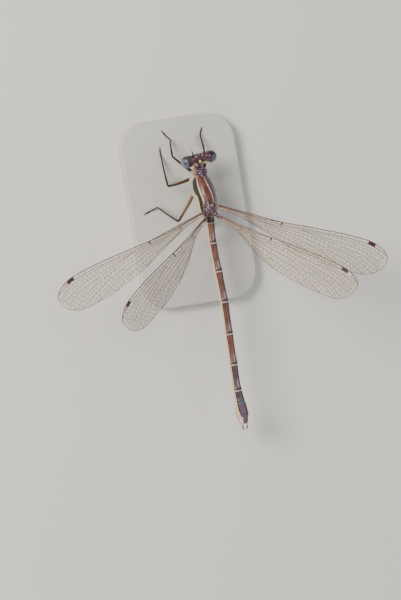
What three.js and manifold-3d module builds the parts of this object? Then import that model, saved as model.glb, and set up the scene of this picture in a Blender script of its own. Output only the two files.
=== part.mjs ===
import * as THREE from "three";
import { mergeVertices } from "three/addons/utils/BufferGeometryUtils.js";
import Module from "manifold-3d";

// A female spreadwing damselfly at life size, standing with half-open wings on a display base.
// Millimetres. Before the last lines centre it, Y = 0 is the joint of thorax and abdomen and
// Z = 0 is under the feet. The head points to -Y, the back is up, the insect's left is +X.

const wasm = await Module();
wasm.setup();

// Driving sizes
const seam = 0.28; // gap that neighbouring pieces keep
const bodySides = 18; // facets round the body
const limbSides = 8; // facets round a leg or feeler
const thoraxSquareness = 2.2; // 2 would give a round section
const headSquareness = 2.4;

const head = {
  centre: new THREE.Vector3(0.2, -8.35, 4.9),
  turn: 5.4, // degrees, to the insect's left
  halfWidth: 1.06,
  halfDepth: 0.7,
  top: 0.86,
  bottom: 0.8,
  swell: 0.1, // share by which it is deeper beside the eyes
  arch: 0.08, // how far its middle stands forward
};
const eye = { centre: 1.76, inner: 1.34, across: 0.9, deep: 0.88, tall: 1.0 };
const mouth = { halfWidth: 0.66, top: -1.08, bottom: -1.72, front: -0.82, back: 0.3 };
const feeler = { apart: 0.76, height: 0.42, length: 1.05, rootRadius: 0.25, tipRadius: 0.12 };

// Each thorax station: place along Y, height of its middle, half width, rise above it, drop below it.
const prothoraxStations = [
  [-7.34, 4.72, 0.52, 0.5, 0.48],
  [-7.08, 4.7, 0.74, 0.72, 0.66],
  [-6.88, 4.66, 0.88, 0.9, 0.88],
  [-6.6, 4.6, 0.98, 1.02, 1.02],
  [-6.32, 4.6, 1.0, 0.94, 1.05],
  [-6.16, 4.6, 0.95, 0.84, 0.96],
];
const pterothoraxStations = [
  [-5.88, 4.55, 0.94, 0.92, 1.02],
  [-5.65, 4.5, 1.1, 1.2, 1.3],
  [-5.1, 4.45, 1.3, 1.58, 1.55],
  [-4.3, 4.42, 1.46, 1.94, 1.7],
  [-3.4, 4.42, 1.52, 2.16, 1.74],
  [-2.4, 4.46, 1.48, 2.2, 1.66],
  [-1.5, 4.52, 1.38, 2.1, 1.42],
  [-0.8, 4.62, 1.2, 1.78, 1.1],
  [-0.35, 4.7, 0.98, 1.3, 0.84],
  [-0.12, 4.76, 0.78, 0.95, 0.7],
];

// How far the thorax bends to the left, for each millimetre ahead of a place along Y
const thoraxBend = { from: -2, perMillimetre: 0.065 };

// Each abdomen segment: its end along Y, sideways bend and height there, half width at its
// waist and at its end ring.
const abdomenStart = { end: 0.14, bend: 0, height: 4.8 };
const abdomenSection = { rise: 0.98, drop: 1.05 }; // shares of the half width, above and below
const abdomenSegments = [
  { end: 0.84, bend: 0.06, height: 4.83, waist: 0.66, ring: 0.68 },
  { end: 3.7, bend: 0.2, height: 4.86, waist: 0.57, ring: 0.62 },
  { end: 7.8, bend: 0.05, height: 4.86, waist: 0.56, ring: 0.63 },
  { end: 12.2, bend: -0.1, height: 4.84, waist: 0.57, ring: 0.63 },
  { end: 16.8, bend: -0.02, height: 4.8, waist: 0.57, ring: 0.63 },
  { end: 21.2, bend: 0.03, height: 4.74, waist: 0.57, ring: 0.64 },
  { end: 24.9, bend: 0.04, height: 4.66, waist: 0.58, ring: 0.66 },
  { end: 26.6, bend: -0.08, height: 4.62, waist: 0.68, ring: 0.76 },
  { end: 28.55, bend: -0.26, height: 4.56, waist: 0.8, ring: 0.78 },
  { end: 29.5, bend: -0.24, height: 4.54, waist: 0.62, ring: 0.55 },
];
const cercus = { apart: 0.33, length: 1.0, rootRadius: 0.2, tipRadius: 0.1 };
const ovipositor = { side: 0.14, front: 26.9, back: 29.9, halfWidth: 0.28, top: 3.44, deepest: 2.86 };

// Wing outlines: share of the span, then distance from the long axis to the edge.
const foreOutline = {
  lead: [[0, 0.26], [0.16, 0.42], [0.36, 0.62], [0.45, 0.92], [0.58, 1.35], [0.72, 1.75],
    [0.85, 1.92], [1, 1.92]],
  trail: [[0, 0.26], [0.12, 0.36], [0.3, 1.4], [0.48, 2.5], [0.6, 2.95], [0.7, 3.15], [0.8, 3.08], [1, 2.95]],
};
const hindOutline = {
  lead: [[0, 0.26], [0.16, 0.4], [0.33, 0.65], [0.5, 1.1], [0.7, 1.5], [0.86, 1.6], [1, 1.6]],
  trail: [[0, 0.26], [0.12, 0.45], [0.18, 0.95], [0.27, 1.9], [0.36, 2.65], [0.5, 3.25], [0.64, 3.45],
    [0.76, 3.35], [0.87, 3.2], [1, 3.1]],
};
const wing = {
  start: 0.42, // the blade begins this far from its hinge point
  halfThickness: 0.25,
  roundFrom: 0.85, // share of the span where the tip begins to round off
  lastStation: 0.9985,
  stations: 20,
};
// Main veins: their shares of the chord behind the leading edge, and how they stand out
const veins = { shares: [0, 0.16, 0.34, 0.52, 0.7, 0.88], halfWidth: 0.17, rise: 0.17 };
// The thickened mark between the first two veins, as shares of the span
const stigma = { from: 0.868, to: 0.93, edge: 0.004, rise: 0.09 };
// Hinge point (x is mirrored for the right), span, and the angles that aim each wing:
// raised above level, swept back, and pitched up at the leading edge.
const wingPoses = [
  { name: "wing_fore_left", side: 1, hinge: [1.1, -0.6, 6.3], span: 25.2,
    raised: 8.6, swept: 20.7, pitched: 8 },
  { name: "wing_fore_right", side: -1, hinge: [1.1, -1.25, 6.3], span: 25.2,
    raised: 10.3, swept: 26.9, pitched: 1 },
  { name: "wing_hind_left", side: 1, hinge: [1.0, 0.28, 6.15], span: 22.9,
    raised: 31.6, swept: 33.1, pitched: 4 },
  { name: "wing_hind_right", side: -1, hinge: [1.0, 0.22, 6.15], span: 22.9,
    raised: 38, swept: 34, pitched: 3 },
];

// Legs: where each joint of the leg lies, from the hip to the tip of the foot.
const legPoses = [
  { name: "leg_fore_left", hip: [0.5, -6.6, 4.0], base: [0.95, -6.9, 2.75],
    knee: [3.45, -9.4, 2.9], ankle: [2.83, -11.96, 0.7], toe: [3.68, -13.3, 0.25] },
  { name: "leg_fore_right", hip: [-0.5, -6.6, 4.0], base: [-0.9, -6.9, 2.7],
    knee: [-1.55, -9.6, 1.9], ankle: [-1.68, -11.94, 0.6], toe: [-2.15, -12.9, 0.25] },
  { name: "leg_mid_left", hip: [0.95, -5.35, 3.2], base: [1.26, -5.9, 2.4],
    knee: [4.82, -5.28, 3.1], ankle: [4.5, -9.4, 0.65], toe: [4.42, -10.9, 0.25] },
  { name: "leg_mid_right", hip: [-0.8, -5.1, 3.2], base: [-1.25, -5.0, 2.2],
    knee: [-1.9, -2.2, 2.3], ankle: [-1.2, 1.1, 0.6], toe: [-1.1, 2.75, 0.25] },
  { name: "leg_hind_left", hip: [0.8, -3.7, 3.2], base: [1.3, -3.5, 2.35],
    knee: [4.62, -0.09, 5.0], ankle: [6.25, -2.66, 0.65], toe: [8.1, -2.0, 0.25] },
  { name: "leg_hind_right", hip: [-0.65, -3.7, 3.2], base: [-0.75, -3.3, 2.15],
    knee: [-0.8, 1.3, 3.1], ankle: [-0.6, 4.4, 0.6], toe: [-0.55, 6.1, 0.25] },
];
const legRadius = { hip: 0.42, femurRoot: 0.33, femurTip: 0.26, tibia: 0.25, foot: 0.25, jointEnd: 0.17 };

const base = { centre: [1.6, -1.6], width: 17, length: 27, thickness: 1.6, corner: 4, bevel: 0.3 };

// Colours, roughness and metalness of the finishes
const finish = (color, roughness, metalness = 0) =>
  new THREE.MeshStandardMaterial({ color, roughness, metalness });
const finishes = {
  head: () => finish(0x6b4a52, 0.45),
  eye: () => finish(0x5f6b86, 0.2),
  thorax: () => finish(0x8c4b37, 0.4, 0.25),
  abdomen: () => finish(0x8a4a32, 0.4, 0.15),
  abdomenTip: () => finish(0x6e5064, 0.4, 0.2),
  pale: () => finish(0xd8c8a8, 0.5),
  leg: () => finish(0x4a3426, 0.5),
  wing: () => finish(0xd9c9a6, 0.3),
  base: () => finish(0xe9e6de, 0.6),
};

// A closed geometry from points and triangles, turned to face outwards.
function closedGeometry(points, faces) {
  let volume = 0;
  for (const [a, b, c] of faces) {
    volume += points[a].dot(new THREE.Vector3().crossVectors(points[b], points[c]));
  }
  const index = faces.flatMap(([a, b, c]) => (volume > 0 ? [a, b, c] : [a, c, b]));
  const geometry = new THREE.BufferGeometry();
  geometry.setAttribute("position", new THREE.Float32BufferAttribute(points.flatMap((p) => p.toArray()), 3));
  geometry.setIndex(index);
  geometry.computeVertexNormals();
  return geometry;
}

// A skin over a row of rings with equal counts, closed with a flat fan at both ends.
function loft(rings) {
  const sides = rings[0].length;
  const points = rings.flat();
  const faces = [];
  for (let r = 0; r + 1 < rings.length; r++) {
    for (let i = 0; i < sides; i++) {
      const next = (i + 1) % sides;
      const a = r * sides + i;
      const b = r * sides + next;
      faces.push([a, b, b + sides], [a, b + sides, a + sides]);
    }
  }
  const middle = (ring) => ring.reduce((sum, p) => sum.add(p), new THREE.Vector3()).divideScalar(sides);
  const first = points.push(middle(rings[0])) - 1;
  const last = points.push(middle(rings.at(-1))) - 1;
  const start = (rings.length - 1) * sides;
  for (let i = 0; i < sides; i++) {
    const next = (i + 1) % sides;
    faces.push([first, next, i], [last, start + i, start + next]);
  }
  return closedGeometry(points, faces);
}

// A closed ring round a centre: halfWidth along one direction, rise and drop along the other.
// Squareness 2 is an ellipse, and more is squarer.
function ring(centre, across, up, halfWidth, rise, drop, squareness, sides) {
  const points = [];
  for (let i = 0; i < sides; i++) {
    const angle = ((i + 0.5) / sides) * 2 * Math.PI;
    const soften = (value) => Math.sign(value) * Math.abs(value) ** (2 / squareness);
    const x = soften(Math.cos(angle)) * halfWidth;
    const y = soften(Math.sin(angle)) * (Math.sin(angle) > 0 ? rise : drop);
    points.push(centre.clone().addScaledVector(across, x).addScaledVector(up, y));
  }
  return points;
}

const acrossX = new THREE.Vector3(1, 0, 0);
const alongY = new THREE.Vector3(0, 1, 0);
const upZ = new THREE.Vector3(0, 0, 1);

function loftStations(stations) {
  return loft(stations.map(([y, z, halfWidth, rise, drop]) => {
    const x = Math.max(0, thoraxBend.from - y) * thoraxBend.perMillimetre;
    return ring(new THREE.Vector3(x, y, z), acrossX, upZ, halfWidth, rise, drop, thoraxSquareness, bodySides);
  }));
}

// A round limb between two points, with a radius at each listed share of its length.
function limb(from, to, radii, sides = limbSides) {
  const along = to.clone().sub(from).normalize();
  const across = new THREE.Vector3().crossVectors(along, upZ).normalize();
  const up = new THREE.Vector3().crossVectors(across, along);
  return loft(radii.map(([share, radius]) =>
    ring(from.clone().lerp(to, share), across, up, radius, radius, radius, 2, sides)));
}

function toSolid(geometry) {
  const bare = geometry.clone();
  bare.deleteAttribute("normal");
  bare.deleteAttribute("uv");
  const merged = mergeVertices(bare, 1e-4);
  return new wasm.Manifold(new wasm.Mesh({
    numProp: 3,
    vertProperties: merged.attributes.position.array,
    triVerts: new Uint32Array(merged.index.array),
  }));
}

function fromSolid(solid) {
  const largest = solid.decompose().sort((a, b) => b.volume() - a.volume())[0];
  const made = largest.getMesh();
  const geometry = new THREE.BufferGeometry();
  geometry.setAttribute("position", new THREE.BufferAttribute(new Float32Array(made.vertProperties), 3));
  geometry.setIndex(new THREE.BufferAttribute(new Uint32Array(made.triVerts), 1));
  geometry.computeVertexNormals();
  return geometry;
}

function join(geometries) {
  return fromSolid(geometries.map(toSolid).reduce((sum, piece) => sum.add(piece)));
}

function node(name, geometry, material) {
  const mesh = new THREE.Mesh(geometry, material);
  mesh.name = name;
  return mesh;
}

// Head, eyes, mouthparts and feelers, in a group that carries the turn of the head
function makeHead() {
  const group = new THREE.Group();
  group.position.copy(head.centre);
  group.rotation.z = THREE.MathUtils.degToRad(head.turn);
  const headRings = [];
  for (const share of [-1, -0.78, -0.4, 0, 0.4, 0.78, 1]) {
    const halfDepth = head.halfDepth * (1 + head.swell * share * share);
    const centre = new THREE.Vector3(share * head.halfWidth, -head.arch * (1 - share * share), 0);
    headRings.push(ring(centre, alongY, upZ, halfDepth, head.top, head.bottom, headSquareness, bodySides));
  }
  group.add(node("head", loft(headRings), finishes.head()));
  for (const [name, side] of [["left", 1], ["right", -1]]) {
    const eyeRings = [];
    const innerShare = (eye.inner - eye.centre) / eye.across;
    for (const share of [innerShare, -0.2, 0.1, 0.4, 0.65, 0.84, 0.96]) {
      const size = Math.sqrt(1 - share * share);
      const centre = new THREE.Vector3(side * (eye.centre + share * eye.across), 0, 0);
      const halfHeight = eye.tall * size;
      eyeRings.push(ring(centre, alongY, upZ, eye.deep * size, halfHeight, halfHeight, 2, bodySides));
    }
    group.add(node("eye_" + name, loft(eyeRings), finishes.eye()));
    const front = head.halfDepth * (1 + head.swell) + seam;
    const root = new THREE.Vector3(side * feeler.apart, -front, feeler.height);
    const reach = new THREE.Vector3(side * 0.22, -0.9, 0.5).normalize().multiplyScalar(feeler.length);
    const feelerRadii = [[0, feeler.rootRadius], [0.35, feeler.rootRadius], [1, feeler.tipRadius]];
    group.add(node("antenna_" + name, limb(root, root.clone().add(reach), feelerRadii), finishes.leg()));
  }
  const mouthRings = [[mouth.top, 0.9, 1], [-1.3, 1, 1], [-1.55, 0.85, 0.9], [mouth.bottom, 0.55, 0.6]].map(
    ([z, widthShare, depthShare]) => {
      const middle = (mouth.front + mouth.back) / 2;
      const halfDepth = ((mouth.back - mouth.front) / 2) * depthShare;
      const centre = new THREE.Vector3(0, middle, z);
      const halfWidth = mouth.halfWidth * widthShare;
      return ring(centre, acrossX, alongY, halfWidth, halfDepth, halfDepth, headSquareness, bodySides);
    });
  group.add(node("mouthparts", loft(mouthRings), finishes.pale()));
  return group;
}

// Unit directions of a wing: out along its span and forward across its chord
function wingDirections(pose) {
  const raised = THREE.MathUtils.degToRad(pose.raised);
  const swept = THREE.MathUtils.degToRad(pose.swept);
  const pitched = THREE.MathUtils.degToRad(pose.pitched);
  const outward = new THREE.Vector3(pose.side * Math.cos(raised), 0, Math.sin(raised));
  const forward = new THREE.Vector3(0, -1, 0);
  const face = new THREE.Vector3(-pose.side * Math.sin(raised), 0, Math.cos(raised));
  const span = outward.clone().multiplyScalar(Math.cos(swept)).addScaledVector(forward, -Math.sin(swept));
  const level = forward.clone().multiplyScalar(Math.cos(swept)).addScaledVector(outward, Math.sin(swept));
  const chord = level.clone().multiplyScalar(Math.cos(pitched)).addScaledVector(face, Math.sin(pitched));
  const normal = face.clone().multiplyScalar(Math.cos(pitched)).addScaledVector(level, -Math.sin(pitched));
  return { span, chord, normal };
}

function wingHinge(pose) {
  return new THREE.Vector3(pose.side * pose.hinge[0], pose.hinge[1], pose.hinge[2]);
}

// Distance from the wing's long axis to an edge at a share of the span
function edgeDistance(outline, share) {
  const curve = new THREE.CubicInterpolant(outline.map((p) => p[0]), outline.map((p) => p[1]), 1);
  const past = Math.max(0, (share - wing.roundFrom) / (1 - wing.roundFrom));
  return curve.evaluate(share)[0] * Math.sqrt(1 - past * past);
}

// The columns of a wing at one station: the share of the chord and the half thickness of each.
// Every main vein is a crest between two shoulders, and the first runs along the leading edge.
function wingColumns(share, chordLength) {
  const crest = wing.halfThickness + veins.rise * (1 - 0.4 * share) * Math.min(1, chordLength);
  const inMark = share > stigma.from && share < stigma.to;
  const membrane = (column) =>
    wing.halfThickness + (inMark && column < veins.shares[1] ? stigma.rise : 0);
  const columns = [];
  veins.shares.forEach((place, i) => {
    const room = i + 1 < veins.shares.length ? veins.shares[i + 1] - place : 1 - place;
    const behind = i ? place - veins.shares[i - 1] : room;
    const shoulder = Math.min(veins.halfWidth / chordLength, 0.3 * Math.min(room, behind));
    if (i) columns.push([place - shoulder, membrane(place - shoulder)]);
    columns.push([place, crest], [place + shoulder, membrane(place + shoulder)]);
  });
  columns.push([1, wing.halfThickness]);
  return columns;
}

// A thin closed slab between two equal grids of points, split into triangles alike on both faces
function slab(upper, lower) {
  const rows = upper.length;
  const columns = upper[0].length;
  const points = [...upper.flat(), ...lower.flat()];
  const low = rows * columns;
  const faces = [];
  const quad = (a, b, c, d) => faces.push([a, b, c], [a, c, d]);
  for (let r = 0; r + 1 < rows; r++) {
    for (let c = 0; c + 1 < columns; c++) {
      const a = r * columns + c;
      const b = a + columns;
      faces.push([a, b, b + 1], [a, b + 1, a + 1]);
      faces.push([low + a, low + b + 1, low + b], [low + a, low + a + 1, low + b + 1]);
    }
    const lead = r * columns;
    const trail = lead + columns - 1;
    quad(lead, low + lead, low + lead + columns, lead + columns);
    quad(trail, trail + columns, low + trail + columns, low + trail);
  }
  for (let c = 0; c + 1 < columns; c++) {
    const tip = (rows - 1) * columns + c;
    quad(c, c + 1, low + c + 1, low + c);
    quad(tip, low + tip, low + tip + 1, tip + 1);
  }
  return closedGeometry(points, faces);
}

// One wing blade with its main veins raised in its own surface and a thickened mark near the tip
function makeWing(pose, outline) {
  const { span, chord, normal } = wingDirections(pose);
  const hinge = wingHinge(pose);
  const firstShare = wing.start / pose.span;
  const shares = [];
  for (let i = 0; i <= wing.stations; i++) {
    const progress = 1 - (1 - i / wing.stations) ** 1.5;
    shares.push(firstShare + (wing.lastStation - firstShare) * progress);
  }
  const markEdges = [stigma.from, stigma.to].flatMap((place) => [place - stigma.edge, place + stigma.edge]);
  const clear = shares.filter((share) => markEdges.every((edge) => Math.abs(edge - share) > stigma.edge));
  const upper = [];
  const lower = [];
  for (const share of [...clear, ...markEdges].sort((a, b) => a - b)) {
    const lead = edgeDistance(outline.lead, share);
    const trail = edgeDistance(outline.trail, share);
    const middle = hinge.clone().addScaledVector(span, share * pose.span);
    const columns = wingColumns(share, lead + trail);
    const face = (side) => columns.map(([column, half]) => middle.clone()
      .addScaledVector(chord, lead - (lead + trail) * column)
      .addScaledVector(normal, side * half));
    upper.push(face(1));
    lower.push(face(-1));
  }
  return node(pose.name, slab(upper, lower), finishes.wing());
}

// Short stump on the thorax that a wing grows from
function wingStump(pose) {
  const { span } = wingDirections(pose);
  const hinge = wingHinge(pose);
  const inner = new THREE.Vector3(pose.side * 0.35, Math.min(hinge.y, -0.75) - 0.15, hinge.z - 0.75);
  const outer = hinge.clone().addScaledVector(span, wing.start - seam);
  const root = limb(inner, hinge, [[0, 0.55], [0.75, 0.38], [1, 0.27]]);
  const neck = limb(hinge.clone().addScaledVector(span, -0.35), outer, [[0, 0.2], [0.5, 0.27], [1, 0.25]]);
  return join([root, neck]);
}

// How far from a joint two round limbs of this radius must stop to keep the seam
function setBack(joint, before, after, radius) {
  const angle = before.clone().sub(joint).angleTo(after.clone().sub(joint)) / 2;
  return (seam / 2 + radius * Math.cos(angle)) / Math.sin(angle);
}

function between(from, to, backFrom, backTo) {
  const along = to.clone().sub(from).normalize();
  return [from.clone().addScaledVector(along, backFrom), to.clone().addScaledVector(along, -backTo)];
}

// A leg's stump on the body, from the hip to the base of the femur
function legStump(pose) {
  const hip = new THREE.Vector3(...pose.hip);
  const root = new THREE.Vector3(...pose.base);
  const knee = new THREE.Vector3(...pose.knee);
  const back = setBack(root, hip, knee, legRadius.femurRoot);
  const [, end] = between(hip, root, 0, back);
  return limb(hip, end, [[0, legRadius.hip + 0.08], [0.6, legRadius.hip], [1, legRadius.femurRoot]]);
}

function makeLeg(pose) {
  const [hip, root, knee, ankle, toe] = ["hip", "base", "knee", "ankle", "toe"].map(
    (key) => new THREE.Vector3(...pose[key]));
  const { femurRoot, femurTip, tibia, foot, jointEnd } = legRadius;
  const backRoot = setBack(root, hip, knee, femurRoot);
  const backKnee = setBack(knee, root, ankle, jointEnd);
  const backAnkle = setBack(ankle, knee, toe, jointEnd);
  const [femurStart, femurEnd] = between(root, knee, backRoot, backKnee);
  const [tibiaStart, tibiaEnd] = between(knee, ankle, backKnee, backAnkle);
  const [footStart] = between(ankle, toe, backAnkle, 0);
  const femurRadii = [[0, femurRoot * 0.8], [0.15, femurRoot], [0.55, (femurRoot + femurTip) / 2],
    [0.9, femurTip], [1, jointEnd]];
  const tibiaRadii = [[0, jointEnd], [0.08, tibia], [0.92, tibia], [1, jointEnd]];
  const parts = [
    node(pose.name + "_femur", limb(femurStart, femurEnd, femurRadii), finishes.leg()),
    node(pose.name + "_tibia", limb(tibiaStart, tibiaEnd, tibiaRadii), finishes.leg()),
  ];
  // The foot comes down from the ankle and lies flat to its tip.
  const bend = footStart.clone().lerp(toe, 0.4).setZ(foot);
  const acrossFoot = new THREE.Vector3().crossVectors(toe.clone().sub(footStart).setZ(0).normalize(), upZ);
  const footSteps = [[footStart, jointEnd], [bend, foot], [bend.clone().lerp(toe, 0.6), foot],
    [toe, foot * 0.7]];
  const footRings = footSteps.map(([centre, halfWidth]) =>
    ring(centre, acrossFoot, upZ, halfWidth, halfWidth, Math.min(centre.z, foot), 3, limbSides));
  parts.push(node(pose.name + "_tarsus", loft(footRings), finishes.leg()));
  return parts;
}

function makeThorax() {
  const forelegs = legPoses.filter((pose) => pose.name.includes("fore"));
  const otherLegs = legPoses.filter((pose) => !pose.name.includes("fore"));
  return [
    node("prothorax", join([loftStations(prothoraxStations), ...forelegs.map(legStump)]), finishes.thorax()),
    node("pterothorax", join([loftStations(pterothoraxStations), ...otherLegs.map(legStump),
      ...wingPoses.map(wingStump)]), finishes.thorax()),
  ];
}

// The ten segments of the abdomen, each narrowing behind its front edge to a ring at its end
function makeAbdomen() {
  const parts = [];
  let front = abdomenStart;
  abdomenSegments.forEach((segment, i) => {
    const startY = front.end + (i ? seam / 2 : 0);
    const endY = segment.end - seam / 2;
    const frontRing = i ? abdomenSegments[i - 1].ring * 0.95 : segment.waist * 1.08;
    const profile = [[0, Math.min(frontRing, segment.ring)], [0.12, segment.waist * 1.02],
      [0.5, segment.waist], [0.84, segment.waist * 1.03], [0.93, segment.ring], [1, segment.ring * 0.93]];
    const rings = profile.map(([share, halfWidth]) => {
      const y = startY + (endY - startY) * share;
      const progress = (y - front.end) / (segment.end - front.end);
      const x = THREE.MathUtils.lerp(front.bend, segment.bend, progress);
      const z = THREE.MathUtils.lerp(front.height, segment.height, progress);
      const centre = new THREE.Vector3(x, y, z);
      const { rise, drop } = abdomenSection;
      return ring(centre, acrossX, upZ, halfWidth, halfWidth * rise, halfWidth * drop, 2, bodySides);
    });
    const look = i < 7 ? finishes.abdomen() : finishes.abdomenTip();
    parts.push(node("abdomen_s" + (i + 1), loft(rings), look));
    front = segment;
  });
  return parts;
}

// The pair of cerci behind the last segment and the egg-laying blade below it
function makeTail() {
  const last = abdomenSegments.at(-1);
  const parts = [];
  for (const [name, side] of [["left", 1], ["right", -1]]) {
    const root = new THREE.Vector3(last.bend + side * cercus.apart, last.end + seam / 2, last.height + 0.12);
    const tip = root.clone().add(new THREE.Vector3(-side * 0.05, cercus.length, -0.05));
    const radii = [[0, cercus.rootRadius], [0.5, cercus.rootRadius], [1, cercus.tipRadius]];
    parts.push(node("cercus_" + name, limb(root, tip, radii), finishes.pale()));
  }
  const { side: x, front, back, halfWidth, top, deepest } = ovipositor;
  const bladeRings = [[0, 0.22], [0.25, 0.85], [0.6, 1], [0.9, 0.75], [1, 0.4]].map(([share, depth]) => {
    const y = front + (back - front) * share;
    const bottom = top - (top - deepest) * depth;
    const centre = new THREE.Vector3(x, y, (top + bottom) / 2);
    return ring(centre, acrossX, upZ, halfWidth, (top - bottom) / 2, (top - bottom) / 2, 3, limbSides);
  });
  parts.push(node("ovipositor", loft(bladeRings), finishes.pale()));
  return parts;
}

// The display base under the feet, a rounded plate with a bevelled top edge
function makeBase() {
  const [x, y] = base.centre;
  const halfWidth = base.width / 2 - base.corner;
  const halfLength = base.length / 2 - base.corner;
  const plateRing = (z, inset) => {
    const points = [];
    const radius = base.corner - inset;
    const stepsPerCorner = 8;
    for (const [cornerX, cornerY, startAngle] of [[1, 1, 0], [-1, 1, 90], [-1, -1, 180], [1, -1, 270]]) {
      for (let i = 0; i <= stepsPerCorner; i++) {
        const angle = THREE.MathUtils.degToRad(startAngle + (90 * i) / stepsPerCorner);
        points.push(new THREE.Vector3(
          x + cornerX * halfWidth + radius * Math.cos(angle),
          y + cornerY * halfLength + radius * Math.sin(angle),
          z,
        ));
      }
    }
    return points;
  };
  const top = -seam;
  const bottom = top - base.thickness;
  const rings = [plateRing(bottom, 0), plateRing(top - base.bevel, 0), plateRing(top, base.bevel)];
  return node("stand_base", loft(rings), finishes.base());
}

const damselfly = new THREE.Group();
const figure = new THREE.Group();
figure.add(makeHead());
figure.add(...makeThorax());
figure.add(...makeAbdomen());
figure.add(...makeTail());
for (const pose of wingPoses) {
  figure.add(makeWing(pose, pose.name.includes("fore") ? foreOutline : hindOutline));
}
for (const pose of legPoses) {
  figure.add(...makeLeg(pose));
}
figure.add(makeBase());
damselfly.add(figure);

// The origin goes to the middle of the whole model's box, at the underside of the base.
damselfly.updateMatrixWorld(true);
const box = new THREE.Box3().setFromObject(damselfly, true);
const middle = box.getCenter(new THREE.Vector3());
figure.position.set(-middle.x, -middle.y, -box.min.z);

export default damselfly;
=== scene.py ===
import math
import random
import bpy
from mathutils import Matrix, Vector


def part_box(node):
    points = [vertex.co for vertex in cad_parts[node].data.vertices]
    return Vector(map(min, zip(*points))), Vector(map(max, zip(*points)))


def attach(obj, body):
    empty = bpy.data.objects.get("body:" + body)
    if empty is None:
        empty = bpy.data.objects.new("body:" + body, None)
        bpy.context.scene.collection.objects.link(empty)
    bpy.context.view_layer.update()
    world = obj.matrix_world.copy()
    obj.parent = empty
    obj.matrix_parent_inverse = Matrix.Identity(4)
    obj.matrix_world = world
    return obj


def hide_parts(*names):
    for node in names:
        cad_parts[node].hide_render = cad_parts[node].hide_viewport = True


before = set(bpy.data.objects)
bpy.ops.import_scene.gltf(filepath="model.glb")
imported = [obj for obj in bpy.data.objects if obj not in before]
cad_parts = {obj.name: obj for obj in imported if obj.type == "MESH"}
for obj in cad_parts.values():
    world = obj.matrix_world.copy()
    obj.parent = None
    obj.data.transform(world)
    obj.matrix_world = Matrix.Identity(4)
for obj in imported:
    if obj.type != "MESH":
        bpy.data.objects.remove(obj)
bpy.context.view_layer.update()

random.seed(7)

# The insect is modelled in its own millimetres: y = 0 is the joint of thorax and abdomen,
# z = 0 is under the feet, the head points to -y and its left is +x. Each finished piece is
# then scaled to metres and moved to the frame, where the base plate says how they lie.
mm = 0.001
plateFoot = Vector((1.6, -1.6, -1.88))   # middle of the base plate's underside
plateLow, plateHigh = (Vector(corner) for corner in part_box("stand_base"))
plateSpot = Vector(((plateLow.x + plateHigh.x) / 2, (plateLow.y + plateHigh.y) / 2, plateLow.z))
bodyOrigin = plateSpot - plateFoot * mm


def mix(a, b, share):
    return a + (b - a) * share


def ramp(value, low, high):
    # 0 below low, 1 above high, straight between
    return min(1.0, max(0.0, (value - low) / (high - low)))


def hump(distance, width):
    return math.exp(-(distance / width) ** 2)


def smoothAt(table, at):
    # A smooth line through the rows of a table, whose first column is the place along it
    at = min(max(at, table[0][0]), table[-1][0])
    i = max(k for k in range(len(table) - 1) if table[k][0] <= at)
    here, after = table[i], table[i + 1]
    before = table[i - 1] if i else here
    later = table[i + 2] if i + 2 < len(table) else after
    width = after[0] - here[0]
    t = (at - here[0]) / width
    values = []
    for k in range(1, len(here)):
        slopeHere = (after[k] - before[k]) / max(after[0] - before[0], 1e-9) * width
        slopeAfter = (later[k] - here[k]) / max(later[0] - here[0], 1e-9) * width
        values.append((2 * t ** 3 - 3 * t ** 2 + 1) * here[k] + (t ** 3 - 2 * t ** 2 + t) * slopeHere
                      + (3 * t ** 2 - 2 * t ** 3) * after[k] + (t ** 3 - t ** 2) * slopeAfter)
    return values


# Shader maths

class Value:
    def __init__(self, paint, socket):
        self.paint = paint
        self.socket = socket

    def calc(self, operation, first, second=None):
        return self.paint.node("ShaderNodeMath", {"operation": operation}, {0: first, 1: second})

    def __add__(self, other):
        return self.calc("ADD", self, other)

    def __radd__(self, other):
        return self.calc("ADD", other, self)

    def __sub__(self, other):
        return self.calc("SUBTRACT", self, other)

    def __rsub__(self, other):
        return self.calc("SUBTRACT", other, self)

    def __mul__(self, other):
        return self.calc("MULTIPLY", self, other)

    def __rmul__(self, other):
        return self.calc("MULTIPLY", other, self)

    def __abs__(self):
        return self.calc("ABSOLUTE", self)

    def rise(self, low, high):
        # 0 below low, 1 above high, smooth between
        return self.paint.node("ShaderNodeMapRange", {"interpolation_type": "SMOOTHSTEP"},
                               {0: self, 1: low, 2: high, 3: 0.0, 4: 1.0})

    def band(self, low, high, soft):
        return self.rise(low - soft, low + soft) * (1 - self.rise(high - soft, high + soft))


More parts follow.
